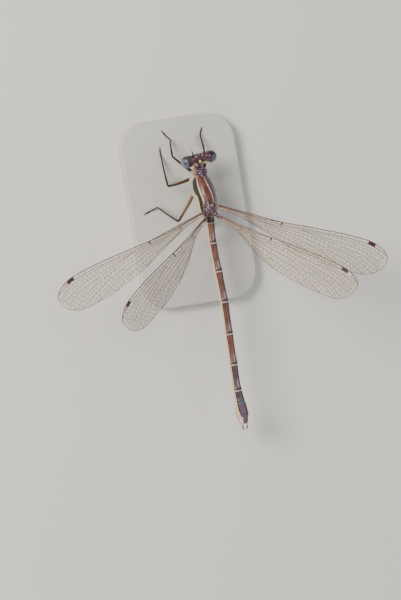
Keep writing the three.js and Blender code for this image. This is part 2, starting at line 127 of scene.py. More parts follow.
class Paint:
    # A material whose patterns are placed in the insect's own millimetres
    def __init__(self, name):
        self.material = bpy.data.materials.new(name)
        self.material.use_nodes = True
        self.tree = self.material.node_tree
        self.shader = self.tree.nodes["Principled BSDF"]
        coords = self.node("ShaderNodeTexCoord", {}, {}, 3)
        shifted = self.node("ShaderNodeVectorMath", {"operation": "SUBTRACT"}, {0: coords, 1: bodyOrigin[:]})
        self.spot = self.node("ShaderNodeVectorMath", {"operation": "SCALE"}, {0: shifted, 3: 1 / mm})
        self.x, self.y, self.z = (self.node("ShaderNodeSeparateXYZ", {}, {0: self.spot}, k) for k in range(3))

    def node(self, kind, settings, values, output=0):
        made = self.tree.nodes.new(kind)
        for key, setting in settings.items():
            setattr(made, key, setting)
        for key, value in values.items():
            if isinstance(value, Value):
                self.tree.links.new(value.socket, made.inputs[key])
            elif value is not None:
                made.inputs[key].default_value = value
        return Value(self, made.outputs[output])

    def noise(self, scale, detail=3.0):
        return self.node("ShaderNodeTexNoise", {}, {"Vector": self.spot, "Scale": scale, "Detail": detail})

    def cells(self, scale, feature="F1"):
        sockets = {"Vector": self.spot, "Scale": scale}
        return self.node("ShaderNodeTexVoronoi", {"feature": feature}, sockets)

    def attribute(self, name):
        return self.node("ShaderNodeAttribute", {"attribute_name": name}, {}, 2)

    def near(self, centre, radius, soft):
        # 1 within the radius of a point
        distance = self.node("ShaderNodeVectorMath", {"operation": "DISTANCE"}, {0: self.spot, 1: centre}, 1)
        return 1 - distance.rise(radius - soft, radius + soft)

    def blend(self, low, high, share):
        return self.node("ShaderNodeMix", {"data_type": "RGBA"}, {0: share, 6: low, 7: high}, 2)

    def finish(self, color, roughness, coat=0.0, alpha=1.0, bump=None, bumpDepth=0.02):
        finishes = {"Base Color": color, "Roughness": roughness, "Coat Weight": coat, "Alpha": alpha}
        for name, value in finishes.items():
            if isinstance(value, Value):
                self.tree.links.new(value.socket, self.shader.inputs[name])
            else:
                self.shader.inputs[name].default_value = value
        if bump:
            sockets = {"Strength": 1.0, "Distance": bumpDepth * mm, "Height": bump}
            relief = self.node("ShaderNodeBump", {}, sockets)
            self.tree.links.new(relief.socket, self.shader.inputs["Normal"])
        return self.material


def tone(red, green, blue):
    # A colour given as it looks on a screen, from 0 to 255
    def linear(value):
        value /= 255
        return value / 12.92 if value <= 0.04045 else ((value + 0.055) / 1.055) ** 2.4
    return (linear(red), linear(green), linear(blue), 1.0)


# Modelling helpers

def deselectAll():
    if bpy.context.mode != "OBJECT":
        bpy.ops.object.mode_set(mode="OBJECT")
    bpy.ops.object.select_all(action="DESELECT")


def activate(piece):
    deselectAll()
    piece.select_set(True)
    bpy.context.view_layer.objects.active = piece


def named(piece, name):
    piece.name = piece.data.name = name
    return piece


def joined(name, pieces):
    activate(pieces[0])
    for piece in pieces:
        piece.select_set(True)
    if len(pieces) > 1:
        bpy.ops.object.join()
    return named(bpy.context.object, name)


def facedOut(piece):
    activate(piece)
    bpy.ops.object.mode_set(mode="EDIT")
    bpy.ops.mesh.select_all(action="SELECT")
    bpy.ops.mesh.normals_make_consistent(inside=False)
    bpy.ops.object.mode_set(mode="OBJECT")
    return piece


def modified(piece, kind, **settings):
    activate(piece)
    modifier = piece.modifiers.new(kind.title(), kind)
    for key, value in settings.items():
        setattr(modifier, key, value)
    bpy.ops.object.modifier_apply(modifier=modifier.name)
    return piece


def fused(name, pieces, voxel, passes=2):
    # Overlapping closed pieces grown together into one even skin
    skin = joined(name, pieces)
    modified(skin, "REMESH", mode="VOXEL", voxel_size=voxel)
    return modified(skin, "SMOOTH", iterations=passes, factor=0.5)


def wrapped(name, places, sides, shape):
    # A round tube along y with a ring of edges at each place, each of whose points is then
    # moved to where shape(place, angle) says; the angle is 0 at the top
    deselectAll()
    bpy.ops.mesh.primitive_circle_add(vertices=sides, radius=1, fill_type="NGON",
                                      location=(0, places[0], 0), rotation=(math.radians(90), 0, 0))
    piece = bpy.context.object
    bpy.ops.object.transform_apply(location=True, rotation=True, scale=True)
    bpy.ops.object.mode_set(mode="EDIT")
    bpy.ops.mesh.select_all(action="SELECT")
    for before, after in zip(places, places[1:]):
        bpy.ops.mesh.extrude_region_move(TRANSFORM_OT_translate={"value": (0, after - before, 0)})
    bpy.ops.object.mode_set(mode="OBJECT")
    for vertex in piece.data.vertices:
        vertex.co = shape(vertex.co.y, math.atan2(vertex.co.x, vertex.co.z))
    return named(facedOut(piece), name)


def sheet(name, columns, rows, thickness, shape):
    # A thin closed sheet, each of whose points lies where shape(back, along) says: how far it
    # is from the front edge to the back, and from the root to the tip
    deselectAll()
    bpy.ops.mesh.primitive_grid_add(x_subdivisions=columns, y_subdivisions=rows, size=2)
    piece = bpy.context.object
    for vertex in piece.data.vertices:
        vertex.co = shape((1 - vertex.co.x) / 2, (vertex.co.y + 1) / 2)
    modified(piece, "SOLIDIFY", thickness=thickness, offset=0)
    return named(facedOut(piece), name)


def measured(piece, **rules):
    # Stores a number at each point for the material to read
    attributes = piece.data.attributes
    for name, rule in rules.items():
        if name in attributes:
            attributes.remove(attributes[name])
        layer = attributes.new(name, "FLOAT", "POINT")
        layer.data.foreach_set("value", [rule(vertex.co) for vertex in piece.data.vertices])


def stalk(path, inner, sides=14, start=0.0, flat=1.0):
    # A round limb through (point, radius) steps. The numbers stored are how far round from the
    # inner side each point lies, in degrees, and how far along, counted from start
    points = [Vector(point) for point, radius in path]
    last = len(points) - 1
    frames = []
    for i in range(last + 1):
        along = (points[min(i + 1, last)] - points[max(i - 1, 0)]).normalized()
        across = along.cross(Vector(inner)).normalized()
        frames.append((across, across.cross(along).normalized()))
    turned, passed = [], []

    def shape(place, angle):
        i = round(place)
        across, towards = frames[i]
        radius = path[i][1]
        turned.append(abs(math.degrees(angle)))
        passed.append(start + place / last)
        return points[i] + towards * math.cos(angle) * radius + across * math.sin(angle) * radius * flat

    piece = wrapped("stalk", list(range(last + 1)), sides, shape)
    for name, numbers in {"around": turned, "along": passed}.items():
        piece.data.attributes.new(name, "FLOAT", "POINT").data.foreach_set("value", numbers)
    return piece


def stretch(start, end, radii, steps=12, bow=(0, 0, 0)):
    # Steps of a straight or slightly bowed limb, its radii read from (share, radius) rows
    rows = []
    for k in range(steps + 1):
        share = k / steps
        point = Vector(start).lerp(Vector(end), share) + Vector(bow) * math.sin(math.pi * share)
        rows.append((point, smoothAt(radii, share)[0]))
    return rows


def strands(name, lines, sides=6):
    # Many thin round threads, each a row of (point, radius), as one mesh
    curve = bpy.data.curves.new(name, "CURVE")
    curve.dimensions = "3D"
    curve.bevel_depth = 1
    curve.bevel_resolution = sides // 2 - 2
    curve.use_fill_caps = True
    for line in lines:
        thread = curve.splines.new("POLY")
        thread.points.add(len(line) - 1)
        for spot, (point, radius) in zip(thread.points, line):
            spot.co = (*point, 1)
            spot.radius = radius
    piece = bpy.data.objects.new(name, curve)
    bpy.context.collection.objects.link(piece)
    activate(piece)
    bpy.ops.object.convert(target="MESH")
    return named(bpy.context.object, name)


def ball(centre, radius, stretchBy=(1, 1, 1), segments=24):
    deselectAll()
    bpy.ops.mesh.primitive_uv_sphere_add(segments=segments, ring_count=segments // 2, radius=radius)
    piece = bpy.context.object
    bpy.ops.object.mode_set(mode="EDIT")
    bpy.ops.transform.resize(value=stretchBy)
    bpy.ops.transform.translate(value=centre)
    bpy.ops.object.mode_set(mode="OBJECT")
    return piece


def settle(piece, material, nodes=(), smoothAngle=60):
    # Moves a finished piece into the frame and ties it to the model
    activate(piece)
    piece.matrix_world = Matrix.Translation(bodyOrigin) @ Matrix.Scale(mm, 4) @ piece.matrix_world
    bpy.ops.object.transform_apply(location=True, rotation=True, scale=True)
    bpy.ops.object.shade_smooth_by_angle(angle=math.radians(smoothAngle))
    piece.data.materials.clear()
    piece.data.materials.append(material)
    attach(piece, "root")
    if nodes:
        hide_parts(*nodes)
    return piece


# Camera, at the photograph's angle: above the back, a little to the insect's left

view = {
    "lens": 180.0, "film": 36.0,     # millimetres, the film's along the picture's long side
    "mmPerPixel": 0.1418,
    "imageHeight": 600,
    "imageMiddle": (200.5, 300.0),
    "jointPixel": (209.5, 217.2),    # where the joint of thorax and abdomen shows
    "jointHeight": 4.8,
    "lean": 14.0,            # degrees from straight above, towards the insect's left
    "roll": 9.3,             # degrees that the body leans in the picture
}


def makeCamera():
    lean, roll = math.radians(view["lean"]), math.radians(view["roll"])
    back = Vector((math.sin(lean), 0, math.cos(lean)))
    flatRight = Vector((-math.cos(lean), 0, math.sin(lean)))
    ahead = Vector((0, -1, 0))
    right = flatRight * math.cos(roll) - ahead * math.sin(roll)
    up = flatRight * math.sin(roll) + ahead * math.cos(roll)
    step = view["mmPerPixel"]
    distance = step * view["imageHeight"] * view["lens"] / view["film"]
    acrossPixels = view["imageMiddle"][0] - view["jointPixel"][0]
    downPixels = view["imageMiddle"][1] - view["jointPixel"][1]
    target = Vector((0, 0, view["jointHeight"])) + right * acrossPixels * step - up * downPixels * step
    spot = bodyOrigin + (target + back * distance) * mm
    data = bpy.data.cameras.new("camera")
    data.lens = view["lens"]
    data.clip_start, data.clip_end = 0.01, 10
    camera = bpy.data.objects.new("camera", data)
    bpy.context.collection.objects.link(camera)
    turn = Matrix((right, up, back)).transposed().to_4x4()
    camera.matrix_world = Matrix.Translation(spot) @ turn
    bpy.context.scene.camera = camera


makeCamera()
print("camera set")


# Wings: where each hangs and how it is aimed, as in the construction

wingSizes = {
    "thickness": 0.024, "markThickness": 0.05,
    "rows": 130, "columns": 36, "markRows": 24, "markColumns": 10,
    "veinSteps": 90, "rimSteps": 140,
    "tipShare": 0.9992,
    "crowding": 1.5,         # above 1, the rows stand closer together towards the tip
    "roundFrom": 0.85,       # share of the span where the tip begins to round off
    "camber": 0.16, "camberWidth": 4,        # height of the arch where the wing is that wide
    "fluting": 0.055, "flutingWidth": 2,     # height of the folds that the main veins stand on
    "flutingFade": 0.6, "folds": 11,         # share of it lost by the tip, and how many there are
    "costa": (0.062, 0.056), "main": (0.05, 0.038), "branch": (0.036, 0.03),   # radii, root and tip
    "rear": 0.035, "cross": 0.022,
    "crossStep": 0.62,       # millimetres between cross veins of neighbouring rows
    "crossVaried": (0.94, 1.06), "crossSlant": (-0.25, 0.25),
    "crossFrom": 0.13, "crossTo": 0.985, "frontFrom": 0.14,
    "wideGap": 0.62,         # a field wider than this gets a vein of its own down the middle
    "middleVaried": (-0.02, 0.02),
    "narrowGap": 0.1,        # and one narrower than this gets no cross veins
}
wingPoses = {
    # hinge, span, then degrees raised, swept back and pitched
    "wing_fore_left": ((1.1, -0.6, 6.3), 25.2, 8.6, 20.7, 8.0),
    "wing_fore_right": ((-1.1, -1.25, 6.3), 25.2, 10.3, 26.9, 1.0),
    "wing_hind_left": ((1.0, 0.28, 6.15), 22.9, 31.6, 33.1, 4.0),
    "wing_hind_right": ((-1.0, 0.22, 6.15), 22.9, 38.0, 34.0, 3.0),
}
wingEdges = {
    # share of the span, then distance from the long axis to the edge
    "fore": {
        "lead": [(0, 0.26), (0.16, 0.42), (0.36, 0.62), (0.45, 0.92), (0.58, 1.35), (0.72, 1.75),
                 (0.85, 1.92), (1, 1.92)],
        "trail": [(0, 0.26), (0.12, 0.36), (0.3, 1.4), (0.48, 2.5), (0.6, 2.95), (0.7, 3.15),
                  (0.8, 3.08), (1, 2.95)],
    },
    "hind": {
        "lead": [(0, 0.26), (0.16, 0.4), (0.33, 0.65), (0.5, 1.1), (0.7, 1.5), (0.86, 1.6), (1, 1.6)],
        "trail": [(0, 0.26), (0.12, 0.45), (0.18, 0.95), (0.27, 1.9), (0.36, 2.65), (0.5, 3.25),
                  (0.64, 3.45), (0.76, 3.35), (0.87, 3.2), (1, 3.1)],
    },
}
# Each long vein: share of the span, then share of the chord behind the leading edge
wingVeins = {
    "lead": [(0.0, 0.0), (1.0, 0.0)],
    "subcosta": [(0.0, 0.2), (0.12, 0.2), (0.24, 0.13), (0.37, 0.0)],
    "radius": [(0.0, 0.42), (0.12, 0.36), (0.25, 0.24), (0.37, 0.14), (0.5, 0.1), (0.7, 0.088),
               (0.868, 0.1), (0.93, 0.115), (0.985, 0.1)],
    "firstBranch": [(0.16, 0.5), (0.25, 0.39), (0.37, 0.235), (0.5, 0.165), (0.7, 0.15), (0.86, 0.18),
                    (0.95, 0.25), (0.988, 0.4)],
    "secondBranch": [(0.48, 0.175), (0.6, 0.235), (0.75, 0.29), (0.88, 0.37), (0.978, 0.58)],
    "secondBetween": [(0.52, 0.23), (0.62, 0.31), (0.75, 0.385), (0.88, 0.5), (0.965, 0.76)],
    "thirdBetween": [(0.24, 0.44), (0.37, 0.32), (0.5, 0.31), (0.7, 0.47), (0.85, 0.65), (0.95, 1.0)],
    "thirdBranch": [(0.28, 0.5), (0.37, 0.42), (0.5, 0.43), (0.7, 0.61), (0.82, 0.8), (0.905, 1.0)],
    "media": [(0.16, 0.55), (0.25, 0.62), (0.37, 0.55), (0.5, 0.57), (0.65, 0.73), (0.8, 1.0)],
    "cubitus": [(0.05, 0.75), (0.17, 0.76), (0.25, 0.8), (0.37, 0.73), (0.5, 0.77), (0.6, 0.87), (0.68, 1.0)],
    "anal": [(0.16, 0.9), (0.25, 0.9), (0.36, 0.88), (0.46, 1.0)],
    "trail": [(0.0, 1.0), (1.0, 1.0)],
}
veinOrder = ["lead", "radius", "firstBranch", "secondBranch", "secondBetween", "thirdBetween",
             "thirdBranch", "media", "cubitus", "anal", "trail"]
# Short upright veins: share of the span, shares of the chord, and radius
uprightVeins = {
    "arculus": (0.16, (0.3, 0.5, 0.76), 0.035),
    "nodus": (0.37, (0.0, 0.14, 0.235), 0.05),
}
# Thickened cells: where each begins and ends along the span, its share of the field's width, and finish
wingMarks = {
    "mark": (0.868, 0.912, 1.0, "dark"),
    "mark_tip": (0.912, 0.936, 1.0, "pale"),
    "nodus": (0.365, 0.376, 0.8, "dark"),
    "nodus_tip": (0.377, 0.425, 0.42, "pale"),
}


class Wing:
    def __init__(self, name):
        self.name = name
        self.edges = wingEdges["fore" if "fore" in name else "hind"]
        hinge, self.length, raised, swept, pitched = wingPoses[name]
        self.hinge = Vector(hinge)
        side = 1 if self.hinge.x > 0 else -1
        raised, swept, pitched = (math.radians(angle) for angle in (raised, swept, pitched))
        outward = Vector((side * math.cos(raised), 0, math.sin(raised)))
        forward = Vector((0, -1, 0))
        face = Vector((-side * math.sin(raised), 0, math.cos(raised)))
        self.span = outward * math.cos(swept) - forward * math.sin(swept)
        level = forward * math.cos(swept) + outward * math.sin(swept)
        self.chord = level * math.cos(pitched) + face * math.sin(pitched)
        self.normal = face * math.cos(pitched) - level * math.sin(pitched)

    def edge(self, which, share):
        past = max(0.0, (share - wingSizes["roundFrom"]) / (1 - wingSizes["roundFrom"]))
        return smoothAt(self.edges[which], share)[0] * math.sqrt(max(0.0, 1 - past * past))

    def width(self, share):
        return self.edge("lead", share) + self.edge("trail", share)

    def at(self, share, back):
        # A point of the wing's own surface: a share of the span, and of the chord from the front
        width = self.width(share)
        reach = self.edge("lead", share) - width * back
        camber = wingSizes["camber"] * min(1.0, width / wingSizes["camberWidth"])
        fluting = wingSizes["fluting"] * min(1.0, width / wingSizes["flutingWidth"])
        arch = camber * (1 - (2 * back - 1) ** 2)
        fluting *= 1 - wingSizes["flutingFade"] * share
        folds = fluting * math.cos(back * wingSizes["folds"] * math.pi)
        point = self.hinge + self.span * share * self.length + self.chord * reach
        return point + self.normal * (arch + folds)


def veinAt(name, share):
    return smoothAt(wingVeins[name], share)[0]


def spanShare(along):
    # Even steps made shorter towards the tip
    return wingSizes["tipShare"] * (1 - (1 - along) ** wingSizes["crowding"])


def makeMembrane(wing):
    def shape(back, along):
        return wing.at(spanShare(along), back)

    sizes = (wingSizes["columns"], wingSizes["rows"], wingSizes["thickness"])
    return sheet(wing.name + "_membrane", *sizes, shape)


def makeMark(wing, name, first, last, depth):
    # A thickened cell between the front edge and the vein behind it
    def shape(back, along):
        share = mix(first, last, along)
        return wing.at(share, veinAt("radius", share) * depth * back)

    sizes = (wingSizes["markColumns"], wingSizes["markRows"], wingSizes["markThickness"])
    return sheet(wing.name + "_" + name, *sizes, shape)


def longVein(wing, name, radii):
    first, last = wingVeins[name][0][0], wingVeins[name][-1][0]
    line = []
    for k in range(wingSizes["veinSteps"] + 1):
        share = mix(first, last, k / wingSizes["veinSteps"])
        line.append((wing.at(share, veinAt(name, share)), mix(*radii, share)))
    return line


def crossVeins(wing):
    lines = []
    halfStep = wingSizes["crossStep"] / 2 / wing.length
    for index, upper in enumerate(veinOrder[:-1]):
        inFront = upper == "lead"
        share = max(wingVeins[upper][0][0], wingSizes["crossFrom"])
        last = min(wingVeins[upper][-1][0], wingSizes["crossTo"])
        middle = []          # the vein down the middle of a wide field, None where it breaks off
        count = index % 2
        while share < last:
            # The next vein behind this one that has begun here and not yet ended
            lower = next(name for name in veinOrder[index + 1:]
                         if wingVeins[name][0][0] <= share < wingVeins[name][-1][0])
            top, bottom = veinAt(upper, share), veinAt(lower, share)
            gap = (bottom - top) * wing.width(share)
            slant = halfStep * random.uniform(*wingSizes["crossSlant"])
            if gap > wingSizes["wideGap"] and not inFront:
                centre = (top + bottom) / 2 + random.uniform(*wingSizes["middleVaried"])
                middle.append((share, centre))
                ends = (top, centre) if count % 2 else (centre, bottom)
                lines.append([(share, ends[0]), (share + slant, ends[1])])
            elif gap > wingSizes["narrowGap"]:
                middle.append(None)
                if inFront and count % 3 == 0 and share > wingSizes["frontFrom"]:
                    lines.append([(share, top), (share, bottom)])
                elif not inFront and count % 2:
                    lines.append([(share, top), (share + slant, bottom)])
            share += halfStep * random.uniform(*wingSizes["crossVaried"])
            count += 1
        run = []
        for spot in middle + [None]:
            if spot:
                run.append(spot)
                continue
            if len(run) > 2:
                lines.append(run)
            run = []
    return [[(wing.at(share, back), wingSizes["cross"]) for share, back in line] for line in lines]


def makeVeins(wing):
    lead, trail = [], []
    for k in range(wingSizes["rimSteps"] + 1):
        share = spanShare(k / wingSizes["rimSteps"])
        lead.append((wing.at(share, 0.0), mix(*wingSizes["costa"], share)))
        trail.append((wing.at(share, 1.0), wingSizes["rear"]))
    lines = [lead + trail[::-1]]
    for name in veinOrder[1:-1] + ["subcosta"]:
        radii = wingSizes["main" if name in ("radius", "subcosta") else "branch"]
        lines.append(longVein(wing, name, radii))
    lines += crossVeins(wing)
    for share, backs, radius in uprightVeins.values():
        lines.append([(wing.at(share, back), radius) for back in backs])
    return strands(wing.name + "_veins", lines)


wingTones = {
    "membrane": (tone(206, 168, 104), tone(232, 212, 170)),
    "vein": (tone(58, 30, 24), tone(118, 74, 54)),
    "veinRoot": tone(126, 88, 76),
    "dark": (tone(58, 30, 40), tone(82, 48, 52)),
    "pale": (tone(224, 180, 162), tone(242, 212, 196)),
}


def membranePaint():
    paint = Paint("wing membrane")
    wear = paint.noise(0.35)
    color = paint.blend(*wingTones["membrane"], wear)
    clear = 0.07 + wear * 0.11
    return paint.finish(color, roughness=0.18, alpha=clear, bump=paint.noise(2.4), bumpDepth=0.03)


def veinPaint():
    paint = Paint("wing vein")
    color = paint.blend(*wingTones["vein"], paint.noise(0.8).rise(0.35, 0.7))
    atRoots = paint.near((0.0, -0.4, 6.2), 5.0, 3.4)
    color = paint.blend(color, wingTones["veinRoot"], atRoots * 0.8)
    return paint.finish(color, roughness=0.4)


def markPaint(name):
    paint = Paint("wing mark " + name)
    color = paint.blend(*wingTones[name], paint.noise(3.5).rise(0.3, 0.75))
    return paint.finish(color, roughness=0.35, coat=0.4, bump=paint.noise(9.0), bumpDepth=0.01)


membrane, vein = membranePaint(), veinPaint()
markFinishes = {name: markPaint(name) for name in ("dark", "pale")}
for wingName in wingPoses:
    wing = Wing(wingName)
    settle(makeMembrane(wing), membrane, [wingName])
    settle(makeVeins(wing), vein)
    for markName, (first, last, depth, finish) in wingMarks.items():
        settle(makeMark(wing, markName, first, last, depth), markFinishes[finish])
print("wings made")


# Thorax, from the neck to the abdomen, in one skin

thorax = {
    # y, middle height, half width, rise above and drop below
    "stations": [
        (-8.0, 4.8, 0.44, 0.34, 0.34), (-7.6, 4.76, 0.58, 0.42, 0.42), (-7.3, 4.72, 0.68, 0.56, 0.54),
        (-7.08, 4.7, 0.88, 0.75, 0.7), (-6.88, 4.66, 0.98, 0.92, 0.9), (-6.6, 4.6, 1.02, 1.03, 1.02),
        (-6.32, 4.6, 1.0, 0.95, 1.06), (-6.16, 4.6, 0.96, 0.84, 0.98), (-6.02, 4.58, 0.93, 0.78, 0.94),
        (-5.88, 4.55, 0.96, 0.94, 1.04), (-5.65, 4.5, 1.1, 1.2, 1.3), (-5.1, 4.45, 1.3, 1.58, 1.55),
        (-4.3, 4.42, 1.46, 1.94, 1.7), (-3.4, 4.42, 1.52, 2.16, 1.74), (-2.4, 4.46, 1.48, 2.2, 1.66),
        (-1.5, 4.52, 1.38, 2.1, 1.42), (-0.8, 4.62, 1.2, 1.78, 1.1), (-0.35, 4.7, 0.98, 1.3, 0.84),
        (-0.12, 4.76, 0.78, 0.95, 0.7), (0.12, 4.8, 0.64, 0.7, 0.62), (0.4, 4.8, 0.58, 0.58, 0.58),
    ],
    "steps": 100, "sides": 64, "squareness": 2.2,
    "voxel": 0.05,
    "bendFrom": -2.0, "bend": 0.065,     # the front swings to the left, for each millimetre
    # place, then degrees that the ridge of the back leans to the right
    "twist": [(-8.0, 5), (-5.1, 9), (-3.65, 16), (-2.6, 20), (-1.0, 15), (0.4, 13)],
    "crest": 0.09, "crestWidth": 2.6,
    "grooves": [(58, 0.05), (84, 0.07), (116, 0.05)],   # degrees round from the back, and depth
    "grooveWidth": 3.0,
    "bare": (-5.9, -5.5, -2.1, -1.6),    # crest and grooves set in, and fade out, between these places
    "ridgeShare": 0.5,                   # how far the plates follow the ridge's lean
    "plateFloor": 4.9, "plateAngle": 75,
    "hollow": (-2.2, 0.2, 0.08),         # between the wings: from, to and depth
    "lobeAngle": 100, "lobeNarrowing": 1.4,
    "rootRadii": [(0, 0.5), (0.7, 0.36), (1, 0.24)],
    "neckRadii": [(0, 0.22), (0.5, 0.2), (1, 0.12)],
    "hipRadii": [(0, 0.52), (0.5, 0.42), (0.85, 0.33), (1, 0.2)],
    # plates between the wings: distance from the middle, place, size and height
    "plates": [(0.0, -1.95, 0.22, 0.1), (0.42, -1.75, 0.24, 0.14), (0.0, -1.4, 0.3, 0.16),
               (0.55, -1.15, 0.22, 0.14), (0.0, -0.85, 0.24, 0.15), (0.42, -0.62, 0.22, 0.14),
               (0.0, -0.4, 0.2, 0.12), (0.34, -0.1, 0.18, 0.12), (0.0, 0.05, 0.16, 0.08)],
    # lobes of the shield behind the head
    "lobes": [(0.0, -7.0, 0.3, 0.08), (0.5, -6.7, 0.34, 0.12), (0.0, -6.24, 0.4, 0.09)],
}
legJoints = {
    # hip, base of the thigh, knee, ankle and toe
    "leg_fore_left": ((0.5, -6.6, 4.0), (0.95, -6.9, 2.75), (3.45, -9.4, 2.9), (2.83, -11.96, 0.7),
                      (3.68, -13.3, 0.25)),
    "leg_fore_right": ((-0.5, -6.6, 4.0), (-0.9, -6.9, 2.7), (-1.55, -9.6, 1.9), (-1.68, -11.94, 0.6),
                       (-2.15, -12.9, 0.25)),
    "leg_mid_left": ((0.95, -5.35, 3.2), (1.26, -5.9, 2.4), (4.82, -5.28, 3.1), (4.5, -9.4, 0.65),
                     (4.42, -10.9, 0.25)),
    "leg_mid_right": ((-0.8, -5.1, 3.2), (-1.25, -5.0, 2.2), (-1.9, -2.2, 2.3), (-1.2, 1.1, 0.6),
                      (-1.1, 2.75, 0.25)),
    "leg_hind_left": ((0.8, -3.7, 3.2), (1.3, -3.5, 2.35), (4.62, -0.09, 5.0), (6.25, -2.66, 0.65),
                      (8.1, -2.0, 0.25)),
    "leg_hind_right": ((-0.65, -3.7, 3.2), (-0.75, -3.3, 2.15), (-0.8, 1.3, 3.1), (-0.6, 4.4, 0.6),
                       (-0.55, 6.1, 0.25)),
}


def softened(value, squareness):
    return math.copysign(abs(value) ** (2 / squareness), value)


def thoraxMiddle(place):
    return thorax["bend"] * max(0.0, thorax["bendFrom"] - place)


def thoraxShape(place, angle):
    middle, halfWidth, rise, drop = smoothAt(thorax["stations"], place)
    across = thoraxMiddle(place) + softened(math.sin(angle), thorax["squareness"]) * halfWidth
    upward = softened(math.cos(angle), thorax["squareness"]) * (rise if math.cos(angle) > 0 else drop)
    return Vector((across, place, middle + upward))


def thoraxAngle(point):
    # Degrees round from the ridge of the back, positive on the left
    middle, halfWidth, rise, drop = smoothAt(thorax["stations"], point.y)
    upward = (point.z - middle) / (rise if point.z > middle else drop)
    turn = math.atan2((point.x - thoraxMiddle(point.y)) / halfWidth, upward)
    return math.degrees(turn) + smoothAt(thorax["twist"], point.y)[0]


def thoraxRelief(point):
    turn = thoraxAngle(point)
    angle = abs(turn)
    halfWidth = smoothAt(thorax["stations"], point.y)[1]
    lean = math.radians(smoothAt(thorax["twist"], point.y)[0])
    ridge = thoraxMiddle(point.y) - thorax["ridgeShare"] * halfWidth * math.sin(lean)
    aside = abs(point.x - ridge)
    begin, whole, fade, end = thorax["bare"]
    bare = ramp(point.y, begin, whole) * (1 - ramp(point.y, fade, end))
    height = thorax["crest"] * bare * hump(turn, thorax["crestWidth"])
    for middle, depth in thorax["grooves"]:
        height -= depth * bare * hump(angle - middle, thorax["grooveWidth"])
    if point.z > thorax["plateFloor"] and angle < thorax["plateAngle"]:
        for across, place, size, rise in thorax["plates"]:
            height += rise * hump(math.hypot(aside - across, point.y - place), size)
        first, last, depth = thorax["hollow"]
        if first < point.y < last:
            height -= depth
    if angle < thorax["lobeAngle"]:
        for across, place, size, rise in thorax["lobes"]:
            behind = (point.y - place) * thorax["lobeNarrowing"]
            height += rise * hump(math.hypot(aside - across, behind), size)
    return height


def makeThorax():
    stations, steps = thorax["stations"], thorax["steps"]
    places = [mix(stations[0][0], stations[-1][0], k / steps) for k in range(steps + 1)]
    pieces = [wrapped("thorax", places, thorax["sides"], thoraxShape)]
    for name in wingPoses:
        wing = Wing(name)
        side = 1 if wing.hinge.x > 0 else -1
        inner = Vector((side * 0.35, min(wing.hinge.y, -0.75) - 0.15, wing.hinge.z - 0.75))
        root = stretch(inner, wing.hinge, thorax["rootRadii"], 8)
        neck = stretch(wing.hinge - wing.span * 0.3, wing.hinge + wing.span * 0.5, thorax["neckRadii"], 6)
        pieces += [stalk(root, (0, 0, 1)), stalk(neck, (0, 0, 1))]
    for hip, base in (joints[:2] for joints in legJoints.values()):
        pieces.append(stalk(stretch(hip, base, thorax["hipRadii"], 8), (0, 1, 0)))
    skin = fused("thorax_skin", pieces, thorax["voxel"])
    normals = [vertex.normal.copy() for vertex in skin.data.vertices]
    for vertex, normal in zip(skin.data.vertices, normals):
        vertex.co += normal * thoraxRelief(vertex.co)
    measured(skin, around=thoraxAngle)
    return skin


thoraxTones = {
    "copper": (tone(84, 42, 34), tone(122, 68, 52)), "rightShadeAndReflection": tone(92, 76, 84),
    "shade": tone(70, 38, 36), "green": (tone(10, 16, 6), tone(26, 34, 14)),
    "flank": (tone(224, 212, 164), tone(190, 180, 136)), "belly": tone(198, 190, 170),
    "stripe": tone(236, 212, 176), "ridge": tone(186, 172, 172),
    "collar": (tone(58, 32, 44), tone(124, 92, 116)), "collarSpots": tone(206, 190, 196),
    "collarSides": (tone(84, 58, 40), tone(170, 142, 98)), "collarBelow": tone(206, 194, 150),
    "seams": tone(34, 22, 26), "plates": (tone(142, 96, 84), tone(122, 104, 116)),
    "plateGlints": tone(214, 198, 192),
}
# Degrees round from the ridge where each marking begins and ends, or where it sets in
thoraxBands = {
    "ridge": (1.2, 3.2), "shade": (40, 50), "stripe": (51, 58), "green": (57.5, 59.5),
    "flank": (80.5, 83.0), "belly": (118, 126), "collarSides": (44, 60), "collarBelow": (100, 120),
    "plates": (60, 72),
}


